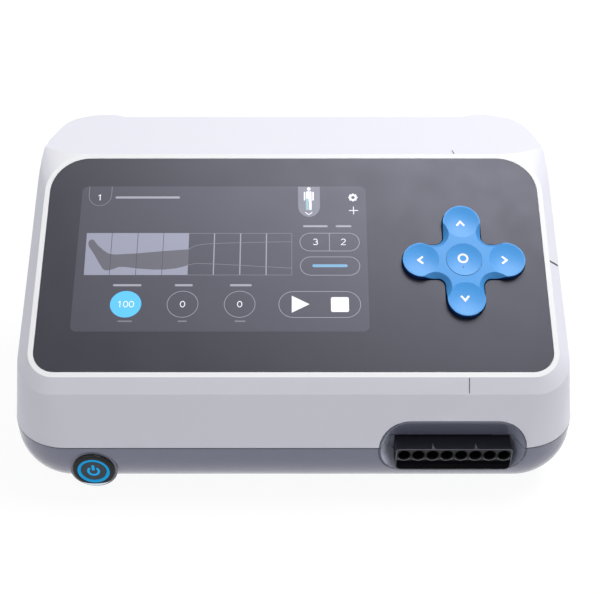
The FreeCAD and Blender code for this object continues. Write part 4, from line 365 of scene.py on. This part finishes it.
def arc(x, y, across, up, start, end, steps):
    """Points on part of an ellipse, angles in degrees."""
    turns = [math.radians(start + (end - start) * i / steps) for i in range(steps + 1)]
    return [(x + across * math.cos(turn), y + up * math.sin(turn)) for turn in turns]


def oval(x, y, across, up, steps=48):
    return arc(x, y, across, up, 0, 360, steps)[:-1]


def rounded(left, right, low, high, radius, up=None):
    """The outline of a rounded box; up is the radius along the second axis."""
    up = up or radius
    return (arc(right - radius, low + up, radius, up, -90, 0, 8)
            + arc(right - radius, high - up, radius, up, 0, 90, 8)
            + arc(left + radius, high - up, radius, up, 90, 180, 8)
            + arc(left + radius, low + up, radius, up, 180, 270, 8))


def smooth(points, steps=6):
    """More points along a smooth curve through the given ones."""
    out = []
    ends = [points[0]] + points + [points[-1]]
    for a, b, c, d in zip(ends, ends[1:], ends[2:], ends[3:]):
        for i in range(steps):
            t = i / steps
            out.append(tuple(0.5 * (2 * b[k] + (c[k] - a[k]) * t
                                    + (2 * a[k] - 5 * b[k] + 4 * c[k] - d[k]) * t * t
                                    + (3 * b[k] - a[k] - 3 * c[k] + d[k]) * t ** 3)
                             for k in range(2)))
    return out + [points[-1]]


class Marks:
    """Thin flat shapes in one mesh, laid on a surface that where() describes."""

    def __init__(self, name, where=None):
        self.name, self.where = name, where
        self.points, self.faces, self.inks, self.of_face = [], [], [], []

    def face(self, corners, ink):
        """A face between points of space, in metres."""
        if ink not in self.inks:
            self.inks.append(ink)
        start = len(self.points)
        self.points += corners
        self.faces.append(range(start, start + len(corners)))
        self.of_face.append(self.inks.index(ink))

    def fill(self, points, ink, layer):
        self.face([self.where(x, y, LAYER * layer) for x, y in points], ink)

    def line(self, points, width, ink, layer=3, closed=False):
        """A stroke of even width with mitred corners."""
        points = [p for i, p in enumerate(points) if i == 0 or math.dist(p, points[i - 1]) > 1e-6]
        count = len(points)
        sides = []
        for i, (x, y) in enumerate(points):
            before = points[i - 1] if i or closed else None
            after = points[(i + 1) % count] if i < count - 1 or closed else None
            ways = []
            for a, b in ((before, (x, y)), ((x, y), after)):
                if a and b:
                    run = math.dist(a, b)
                    ways.append(((a[1] - b[1]) / run, (b[0] - a[0]) / run))
            nx, ny = (sum(w[k] for w in ways) / len(ways) for k in range(2))
            # The squared length is kept from going so low that a sharp corner gets a spike.
            length = max(nx * nx + ny * ny, 0.2)
            nx, ny = nx / length * width / 2, ny / length * width / 2
            sides.append(((x + nx, y + ny), (x - nx, y - ny)))
        for i in range(count if closed else count - 1):
            (a, b), (c, d) = sides[i], sides[(i + 1) % count]
            self.fill([b, d, c, a], ink, layer)

    def bar(self, left, right, y, high, ink):
        """A level bar with round ends, which stands for a word."""
        self.fill(rounded(left, right, y - high / 2, y + high / 2, high / 2), ink, 3)

    def finish(self, body):
        mesh = bpy.data.meshes.new(self.name)
        mesh.from_pydata(self.points, [], self.faces)
        for ink in self.inks:
            mesh.materials.append(ink)
        for polygon, index in zip(mesh.polygons, self.of_face):
            polygon.material_index = index
        item = bpy.data.objects.new(self.name, mesh)
        bpy.context.scene.collection.objects.link(item)
        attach(item, body)


# ---------------------------------------------------------------- display, in u and v

SCREEN = (-114.7, 39.1, 22.0, 107.4)    # left, right, low and high
SCREEN_CORNER = 3.2
HAIRLINE, THIN, BOLD = 0.3, 0.45, 0.55

DIAGRAM_LOW = 54.0
LIT_CHAMBERS_HIGH, DIM_CHAMBERS_HIGH = 78.8, 78.6
LIT_CHAMBERS = [(-110.3, LIT_CHAMBERS_HIGH), (-110.0, DIAGRAM_LOW), (-55.6, DIAGRAM_LOW),
                (-55.7, LIT_CHAMBERS_HIGH)]
DIM_CHAMBERS = [(-55.7, DIM_CHAMBERS_HIGH), (-0.9, DIM_CHAMBERS_HIGH), (-0.9, DIAGRAM_LOW),
                (-55.7, DIAGRAM_LOW)]
LIMB = [(-108.6, 74.4), (-107.3, 75.0), (-106.1, 74.4), (-104.1, 71.7), (-100.6, 68.4),
        (-97.7, 66.5), (-94.4, 66.0), (-83.9, 66.6), (-69.4, 68.0), (-55.7, 69.1),
        (-55.7, 59.7), (-58.4, 58.8), (-62.3, 57.8), (-67.6, 57.2), (-74.1, 57.2),
        (-82.1, 57.8), (-88.7, 58.7), (-92.0, 58.7), (-94.9, 57.5), (-97.1, 56.7),
        (-99.1, 56.7), (-100.5, 57.8), (-102.7, 61.3), (-105.7, 66.5), (-108.7, 70.9),
        (-109.1, 72.9)]
LEG_TOP = [(-55.6, 69.1), (-51.7, 71.3), (-45.7, 72.3), (-42.4, 72.5), (-28.5, 73.0),
           (-1.0, 73.6)]
LEG_BOTTOM = [(-55.6, 59.8), (-51.3, 60.7), (-45.3, 60.6), (-28.2, 59.7), (-15.0, 58.8),
              (-1.0, 58.0)]

DIAL_V = 37.3
DIALS = ((-87.0, "100"), (-57.5, "0"), (-27.9, "0"))
FIELD_GAP = 0.05                        # half of the straight left between two corners
FIELDS = ((-7.6, 34.8, 29.8, 44.5), (3.6, 34.9, 53.9, 64.6), (3.4, 35.0, 68.1, 78.7))
FIELD_NUMBERS = ((11.6, "3"), (26.5, "2"))
FIELD_NUMBERS_V = 73.5
COG = (32.2, 100.5)


def numeral(digit, x, y, high):
    """The strokes of a 0, 1, 2 or 3, as plain lines and arcs, and whether they close."""
    half, wide = high / 2, high * 0.36
    if digit == "0":
        return [oval(x, y, wide, half, 28)], True
    if digit == "1":
        return [[(x - wide * 0.7, y + half * 0.62), (x + wide * 0.1, y + half),
                 (x + wide * 0.1, y - half)]], False
    if digit == "2":
        return [arc(x, y + half * 0.45, wide * 0.9, half * 0.55, 165, -35, 10)
                + [(x - wide, y - half), (x + wide, y - half)]], False
    return [arc(x, y + half * 0.47, wide * 0.85, half * 0.53, 150, -80, 10),
            arc(x, y - half * 0.45, wide, half * 0.55, 80, -150, 10)], False


def write(marks, text, x, y, high, stroke):
    """A number with its middle at x and y."""
    pitch = high * 0.95
    for i, digit in enumerate(text):
        strokes, closed = numeral(digit, x + pitch * (i - (len(text) - 1) / 2), y, high)
        for points in strokes:
            marks.line(points, stroke, INK_WHITE, layer=4, closed=closed)


def draw_number_tab(marks):
    marks.line([(-110.9, 107.3)] + arc(-104.8, 102, 6.1, 6.6, 180, 360, 14) + [(-98.7, 107.3)],
               0.35, INK_FAINT)
    write(marks, "1", -104.9, 100.4, 3.4, THIN)
    marks.bar(-96.5, -61.5, 100.5, 1.3, INK_LINE)


def draw_leg(marks):
    """A leg lying in eight chambers, of which the lower four are lit."""
    marks.fill(LIT_CHAMBERS, BLOCK_LIT, 2)
    marks.fill(LIMB, LIMB_LIT, 3)
    for u in (-96.7, -82.9, -69.2):
        marks.line([(u, LIT_CHAMBERS_HIGH), (u, DIAGRAM_LOW)], HAIRLINE, INK_DARK, layer=4)
    marks.line(DIM_CHAMBERS, HAIRLINE, INK_FAINT)
    for u in (-42.1, -28.2, -14.4):
        marks.line([(u, DIM_CHAMBERS_HIGH), (u, DIAGRAM_LOW)], BOLD, INK_LINE)
    for points in (LEG_TOP, LEG_BOTTOM):
        marks.line(smooth(points), HAIRLINE, INK_FAINT)


def draw_dials(marks):
    """Three round dials, the first one lit, with bars for the words over and under them."""
    for u, text in DIALS:
        if text == "100":
            marks.fill(oval(u, DIAL_V, 8.1, 7.5), INK_CYAN, 2)
        else:
            marks.line(oval(u, DIAL_V, 8.0, 7.4), 0.28, INK_LINE, closed=True)
        write(marks, text, u, DIAL_V, 3.2, 0.42)
    for left, right in ((-94.3, -79.4), (-62.0, -52.6), (-33.2, -21.8)):
        quarter = (right - left) / 4
        marks.bar(left, right, 48.1, 1.2, INK_LINE)
        marks.bar(left + quarter, right - quarter, 27.7, 0.8, INK_FAINT)


def draw_fields(marks):
    """The framed fields at the right: play and stop, a bar, and two numbers under words."""
    for left, right in ((5.1, 18.3), (22.6, 31.0)):
        marks.bar(left, right, 82.9, 1.15, INK_LINE)
    for left, right, low, high in FIELDS:
        radius = (high - low) / 2 - FIELD_GAP
        marks.line(rounded(left, right, low, high, radius * 1.05, radius), HAIRLINE, INK_LINE,
                   closed=True)
    marks.line([(19.1, 78.6), (19.1, 68.2)], 0.32, INK_LINE)
    for u, text in FIELD_NUMBERS:
        write(marks, text, u, FIELD_NUMBERS_V, 3.4, 0.43)
    marks.bar(9.9, 28.5, 59.4, 1.7, INK_BLUE)
    marks.fill([(-0.9, 42.1), (-0.9, 32.5), (8.3, 37.3)], INK_WHITE, 3)
    marks.fill(rounded(19.4, 28.7, 32.9, 41.3, 0.9), INK_WHITE, 3)


def draw_figure(marks, x, y):
    """A plain standing figure, as on a body-part chart, with one leg in blue."""
    marks.fill(oval(x, y + 6.2, 1.0, 1.1, 20), INK_WHITE, 3)
    marks.fill(rounded(x - 1.5, x + 1.5, y - 1.6, y + 4.7, 0.6), INK_WHITE, 3)
    for side in (-1, 1):
        arm = x + side * 2.3
        marks.fill(rounded(arm - 0.4, arm + 0.4, y - 1.0, y + 4.4, 0.35), INK_WHITE, 3)
        leg = x + side * 0.82
        marks.fill(rounded(leg - 0.65, leg + 0.65, y - 6.8, y - 1.2, 0.4), INK_WHITE, 3)
    marks.fill(rounded(x - 1.6, x - 0.1, y - 6.7, y + 0.2, 0.4), INK_TEAL, 4)


def draw_figure_tab(marks):
    marks.fill([(2.4, 107.2)] + arc(8.4, 95.0, 5.9, 6.4, 180, 360, 14) + [(14.3, 107.2)],
               TAB_LIT, 2)
    draw_figure(marks, 8.3, 99.6)
    marks.line([(6.3, 91.4), (8.2, 89.9), (10.1, 91.4)], THIN, INK_WHITE, layer=4)


def draw_cog_and_plus(marks):
    marks.line(oval(*COG, 1.55, 1.5, 24), 1.1, INK_WHITE, closed=True)
    for turn in range(0, 360, 45):
        way = (math.cos(math.radians(turn)), math.sin(math.radians(turn)))
        marks.line([(COG[0] + 1.9 * way[0], COG[1] + 1.85 * way[1]),
                    (COG[0] + 2.5 * way[0], COG[1] + 2.4 * way[1])], 0.9, INK_WHITE)
    marks.line([(29.9, 92.5), (34.8, 92.5)], THIN, INK_WHITE)
    marks.line([(32.35, 90.1), (32.35, 94.9)], THIN, INK_WHITE, layer=4)


def add_screen():
    """The lit face of the display, with generic signs, and plain bars in place of words."""
    marks = Marks("screen_face", panel)
    marks.fill(rounded(*SCREEN, SCREEN_CORNER), SCREEN_LIT, 1)
    draw_number_tab(marks)
    draw_leg(marks)
    draw_dials(marks)
    draw_fields(marks)
    draw_figure_tab(marks)
    draw_cog_and_plus(marks)
    marks.finish("case")


# ---------------------------------------------------------------- four-way key

def dished(middle_u, middle_v, floor):
    """A surface patch in the panel's frame, sunk as the dishes of the keys are."""
    def where(x, y, above):
        rise = DISH_SPHERE - math.sqrt(DISH_SPHERE ** 2 - x * x - y * y)
        return panel(middle_u + x, middle_v + y, floor + rise + above)
    return where


def add_key_marks():
    """White arrow heads on the lobes of the key, and a ring on its centre button."""
    for name, side_u, side_v, shift_u, shift_v in ARROWS:
        lobe = dished(KEY[0] + LOBE * side_u, KEY[1] + LOBE * side_v, KEY_FLOOR)
        marks = Marks("arrow_" + name, lobe)
        points = [(along * side_u - across * side_v + shift_u,
                   along * side_v + across * side_u + shift_v) for along, across in ARROW_HEAD]
        marks.line(points, 1.1, KEY_WHITE, layer=2)
        marks.finish("key")
    ring = Marks("button_ring", dished(*KEY, BUTTON_FLOOR))
    ring.line(oval(-0.4, 1.1, 2.3, 2.25, 40), 1.1, KEY_WHITE, layer=2, closed=True)
    ring.fill(oval(-0.5, -4.0, 0.42, 0.42, 16), TICK_DARK, 2)
    ring.finish("centre_button")


# ---------------------------------------------------------------- power switch

def on_power_face(x, y, above):
    return Vector((POWER[0] + x, POWER[1] - above, POWER[2] + y)) / MM


def add_power_marks():
    """The usual open ring and bar on the cap, and the dark line round the lit ring."""
    marks = Marks("power_mark", on_power_face)
    marks.line(arc(0, 0.15, 2.75, 2.75, 130, 410, 40), 1.25, CAP_CYAN, layer=2)
    marks.line([(0, 0.7), (0, 4.4)], 1.5, CAP_CYAN, layer=2)
    marks.finish("power_button")
    border = Marks("ring_border", on_power_face)
    border.line(oval(0, 0, RING_EDGE, RING_EDGE, 96), 0.44, FINISHES["bezel_metal"], closed=True)
    border.finish("case")


def painted_lip_reflection(material):
    """Paint a reflection on the bezel's lower lip: bright metal outside a circle that sits above
    its middle.
    """
    tree = material.node_tree
    target, tone = base_colour(material)
    away = add_node(tree, "ShaderNodeVectorMath", operation="MULTIPLY_ADD")
    # Only x and z count, from the middle of that circle.
    away.inputs[1].default_value = (1, 0, 1)
    away.inputs[2].default_value = (-POWER[0] / MM, 0, -(POWER[2] + LIP_RISE) / MM)
    tree.links.new(add_node(tree, "ShaderNodeTexCoord").outputs["Object"], away.inputs[0])
    far = add_node(tree, "ShaderNodeVectorMath", operation="LENGTH")
    tree.links.new(away.outputs["Vector"], far.inputs[0])
    edge = ramp(tree, far.outputs["Value"], (LIP_RADIUS - LIP_BLUR) / MM,
                (LIP_RADIUS + LIP_BLUR) / MM)
    tree.links.new(mix_colour(tree, edge, tone, PAINTED_LIP_REFLECTION), target)
    tree.links.new(edge, tree.nodes["Principled BSDF"].inputs["Metallic"])
    return material


def bezel_section(outside, front, back):
    """The section of the bezel, as distances from its axis and places along it."""
    section = [(BEZEL_HOLE, back), (BEZEL_HOLE, front + BEZEL_CHAMFER),
               (BEZEL_HOLE + BEZEL_CHAMFER, front)]
    for i in range(BEZEL_ARC + 1):
        turn = math.pi / 2 * i / BEZEL_ARC
        section.append((outside - BEZEL_SOFT + BEZEL_SOFT * math.sin(turn),
                        front + BEZEL_SOFT_DEEP * (1 - math.cos(turn))))
    return section + [(outside, back)]


def add_bezel():
    """The round bezel of the power switch, with the soft outer edge that a turned ring has."""
    low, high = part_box("power_bezel")
    section = bezel_section((high[0] - low[0]) * MM / 2, low[1] * MM, high[1] * MM)
    count = len(section)
    points, faces = [], []
    for i in range(BEZEL_TURNS):
        turn = 2 * math.pi * i / BEZEL_TURNS
        points += [Vector((POWER[0] + r * math.cos(turn), y, POWER[2] + r * math.sin(turn))) / MM
                   for r, y in section]
        here, there = i * count, (i + 1) % BEZEL_TURNS * count
        faces += [(here + k, here + (k + 1) % count, there + (k + 1) % count, there + k)
                  for k in range(count)]
    mesh = bpy.data.meshes.new("bezel")
    mesh.from_pydata(points, [], faces)
    mesh.materials.append(painted_lip_reflection(FINISHES["bezel_metal"].copy()))
    for polygon in mesh.polygons:
        polygon.use_smooth = True
    mesh.set_sharp_from_angle(angle=SHARP)
    item = bpy.data.objects.new("bezel", mesh)
    bpy.context.scene.collection.objects.link(item)
    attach(item, "case")
    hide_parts("power_bezel")


# ---------------------------------------------------------------- joints between the shells

def surface_of(*names):
    """The faces of some CAD nodes, so that a thin piece can be laid on them."""
    points, faces = [], []
    for name in names:
        mesh = frame["nodes"][name].data
        start = len(points)
        points += [vertex.co.copy() for vertex in mesh.vertices]
        faces += [[start + i for i in polygon.vertices] for polygon in mesh.polygons]
    return BVHTree.FromPolygons(points, faces)


def laid(skin, start, way, above):
    """The first point of the skin, in metres, on a line given in millimetres, raised a little."""
    place, normal = skin.ray_cast(Vector(start) / MM, Vector(way))[:2]
    return place + normal * above / MM if place else None


def add_seam(upper, lower):
    """The dark line where the two shells meet, all round the case and across the port liner."""
    marks = Marks("seam_line")
    rows = []
    for i in range(SEAM_STEPS):
        turn = 2 * math.pi * i / SEAM_STEPS
        far = Vector((math.cos(turn), math.sin(turn), 0)) * AROUND
        low, high = (laid(skin, far + Vector((0, 0, z)), -far.normalized(), SEAM_ABOVE)
                     for skin, z in ((lower, SEAM_LOW), (upper, SEAM_HIGH)))
        rows.append((low, high) if low and high and (low - high).length < SEAM_WIDEST else None)
    for a, b in zip(rows, rows[1:] + rows[:1]):
        if a and b and (a[0] - b[0]).length < SEAM_LONGEST:
            marks.face((a[0], b[0], b[1], a[1]), JOINT_DARK)
    marks.finish("case")


def add_ticks(upper):
    """Three fine lines in the housing, in line with the four-way key."""
    def from_front(x, z, above):
        return laid(upper, (x, IN_FRONT, z), (0, 1, 0), above)

    def from_above(x, y, above):
        return laid(upper, (x, y, AROUND), (0, 0, -1), above)

    front = Marks("tick_front", from_front)
    front.line([(88.5, 80.4), (88.7, 73.3)], 0.4, TICK_DARK)
    front.finish("case")
    over = Marks("tick_top", from_above)
    over.line([(135.2, -23.1), (140.4, -21.4)], 0.9, TICK_DARK)
    over.line([(88.1, 39.2), (88.8, 34.8)], 0.55, TICK_DARK)
    over.finish("case")


# ---------------------------------------------------------------- port recess

def scoop_edge(y):
    """The outline of the liner of the port recess where it has come to the depth y."""
    low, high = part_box("port_cover")
    share = (y - SCOOP_Y[0]) / (SCOOP_Y[1] - SCOOP_Y[0])
    beside, half_z, radius = (mouth + (floor - mouth) * share for mouth, floor in
                              (SCOOP_BESIDE, SCOOP_HALF_HIGH, SCOOP_CORNER))
    half_x = (high[0] - low[0]) * MM / 2 + beside
    return rounded(SCOOP_MIDDLE[0] - half_x, SCOOP_MIDDLE[0] + half_x,
                   SCOOP_MIDDLE[1] - half_z, SCOOP_MIDDLE[1] + half_z, radius)


def add_recess_line(skin):
    """The fine dark joint between the liner of the recess and the shells round it."""
    def where(x, z, above):
        out = Vector((x - SCOOP_MIDDLE[0], 0, z - SCOOP_MIDDLE[1])).normalized() * JOINT_SIDE
        start = Vector((x, IN_FRONT, z))
        inner, outer = (laid(skin, start + out * side, (0, 1, 0), 0).y for side in (-1, 1))
        return Vector((x / MM, (inner + outer) / 2 - above / MM, z / MM))

    points = []
    for i, point in enumerate(scoop_edge(SCOOP_START)):
        for _ in range(SCOOP_TRIES):
            point = scoop_edge(where(*point, 0).y * MM)[i]
        points.append(point)
    marks = Marks("recess_line", where)
    marks.line(points, 0.4, JOINT_DARK, layer=2, closed=True)
    marks.finish("case")


def port_middle(number):
    """x and z of the middle of an air port."""
    low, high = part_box("port_sleeve_%d" % number)
    return (low[0] + high[0]) * MM / 2, (low[2] + high[2]) * MM / 2


def add_port_painted_light():
    """Painted highlights on the edges of the port block, its ribs and the lower lip of each port,
    and painted shade round the mouth of each port.
    """
    low, high = ([value * MM for value in corner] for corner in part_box("port_cover"))
    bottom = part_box("port_slab")[0][2] * MM
    top, front = high[2] - RIB_HIGH, low[1]
    marks = Marks("port_painted_light", lambda x, z, above: Vector((x, front - above, z)) / MM)
    outline = []
    for radius, x, z, start, steps in (
            (BLOCK_LOW_CORNER, high[0] - BLOCK_LOW_CORNER, bottom + BLOCK_LOW_CORNER, -90, 8),
            (BLOCK_HIGH_CORNER, high[0] - BLOCK_HIGH_CORNER, top - BLOCK_HIGH_CORNER, 0, 6),
            (BLOCK_HIGH_CORNER, low[0] + BLOCK_HIGH_CORNER, top - BLOCK_HIGH_CORNER, 90, 6),
            (BLOCK_LOW_CORNER, low[0] + BLOCK_LOW_CORNER, bottom + BLOCK_LOW_CORNER, 180, 8)):
        inside = radius - BLOCK_EDGE
        outline += arc(x, z, inside, inside, start, start + 90, steps)
    # A painted highlight along the edge of the block.
    marks.line(outline, 0.4, PAINTED_LIP_HIGHLIGHT, layer=1, closed=True)
    for number in PORTS:
        x, z = port_middle(number)
        # Painted shade round the mouth of each port.
        mouth = oval(x, z, MOUTH_RADIUS, MOUTH_RADIUS, 40)
        marks.line(mouth, PORT_STROKE, PAINTED_MOUTH_SHADE, layer=1, closed=True)
        # A painted highlight on the lower lip of each port.
        lip = arc(x, z, PORT_LIP_RADIUS, PORT_LIP_RADIUS, 212, 328, 12)
        marks.line(lip, PORT_STROKE, PAINTED_LIP_HIGHLIGHT, layer=1)
    # A painted highlight on the top of each rib.
    for number in RIBBED_PORTS:
        x = port_middle(number)[0]
        marks.face([Vector((x + side, front + deep, high[2] + LAYER)) / MM
                    for side, deep in RIB_FACE], PAINTED_RIB_HIGHLIGHT)
    marks.finish("case")


# ---------------------------------------------------------------- stage, in metres

WHITE = (1, 1, 1, 1)
FLOOR_HALF, FLOOR_Z = 6, -0.0002
FLOOR_GLOW, GLOW_SHARE = 1.06, 0.88     # the floor's own light, and how much of it shows
WORLD_LIGHT = 0.3


def add_camera():
    data = bpy.data.cameras.new("camera")
    data.sensor_width = 36.0
    data.lens = 64.11
    data.shift_x = 0.0108
    item = bpy.data.objects.new("camera", data)
    item.location = (0, -0.4858, 0.4351)
    item.rotation_euler = (math.radians(53), 0, 0)
    bpy.context.scene.collection.objects.link(item)
    bpy.context.scene.camera = item


def add_area(name, place, target, size, power, gloss=True, matt=True):
    """An area light that faces the target. It may be left out of gloss or of matt light."""
    data = bpy.data.lights.new(name, "AREA")
    data.shape = "RECTANGLE"
    data.size, data.size_y = size
    data.energy = power
    item = bpy.data.objects.new(name, data)
    item.location = place
    item.rotation_euler = (Vector(target) - item.location).to_track_quat("-Z", "Y").to_euler()
    item.visible_glossy = gloss
    item.visible_diffuse = matt
    bpy.context.scene.collection.objects.link(item)


def seen_by_eye(tree):
    """A value of 1 on camera, glossy and transmission rays, and of 0 on the others."""
    path = add_node(tree, "ShaderNodeLightPath")
    seen = path.outputs["Is Camera Ray"]
    for other in ("Is Glossy Ray", "Is Transmission Ray"):
        either = add_node(tree, "ShaderNodeMath", operation="MAXIMUM")
        tree.links.new(seen, either.inputs[0])
        tree.links.new(path.outputs[other], either.inputs[1])
        seen = either.outputs[0]
    return seen


def add_world():
    """A background that is white to the eye and lights the scene less."""
    world = bpy.data.worlds.new("studio")
    bpy.context.scene.world = world
    world.use_nodes = True
    tree = world.node_tree
    background = tree.nodes["Background"]
    background.inputs["Color"].default_value = WHITE
    tree.links.new(ramp(tree, seen_by_eye(tree), 0, 1, WORLD_LIGHT), background.inputs["Strength"])


def add_floor():
    """A pale floor that glows to the eye, so that only soft shadows show on it."""
    mesh = bpy.data.meshes.new("floor")
    corners = [(x * FLOOR_HALF, y * FLOOR_HALF, FLOOR_Z)
               for x, y in ((-1, -1), (1, -1), (1, 1), (-1, 1))]
    mesh.from_pydata(corners, [], [(0, 1, 2, 3)])
    item = bpy.data.objects.new("floor", mesh)
    bpy.context.scene.collection.objects.link(item)
    shader = Shader("floor_pale")
    shader.set(Base_Color=srgb(240, 240, 243), Roughness=0.9)
    glow = shader.add("ShaderNodeEmission")
    glow.inputs["Color"].default_value = WHITE
    glow.inputs["Strength"].default_value = FLOOR_GLOW
    blend = shader.add("ShaderNodeMixShader")
    share = shader.add("ShaderNodeMath", operation="MULTIPLY")
    share.inputs[1].default_value = GLOW_SHARE
    shader.link(seen_by_eye(shader.tree), share.inputs[0])
    shader.link(share.outputs[0], blend.inputs["Fac"])
    shader.link(shader.surface.outputs[0], blend.inputs[1])
    shader.link(glow.outputs[0], blend.inputs[2])
    shader.link(blend.outputs[0], shader.output.inputs["Surface"])
    mesh.materials.append(shader.material)


dress_nodes()
add_screen()
add_key_marks()
add_power_marks()
add_bezel()
UPPER = ("upper_housing", "port_surround_upper")
LOWER = ("base_shell", "port_surround_lower")
add_seam(surface_of(*UPPER), surface_of(*LOWER))
add_ticks(surface_of("upper_housing"))
add_recess_line(surface_of(*UPPER, *LOWER))
add_port_painted_light()
add_camera()
add_world()
add_floor()
# The key light shades the shells, the softbox is the sheen on the glass, the fill does both.
add_area("key_light", (0.62, 0.18, 1.6), (0, 0, 0.1), (1.0, 0.5), 20, gloss=False)
add_area("softbox", (0.29, 0.40, 1.6), (0.04, 0, 0.1), (1.2, 0.9), 37, matt=False)
add_area("fill_light", (-0.9, -0.8, 1.2), (0, 0, 0.1), (1.2, 1.2), 1.9)
bpy.context.scene.view_settings.view_transform = "Standard"
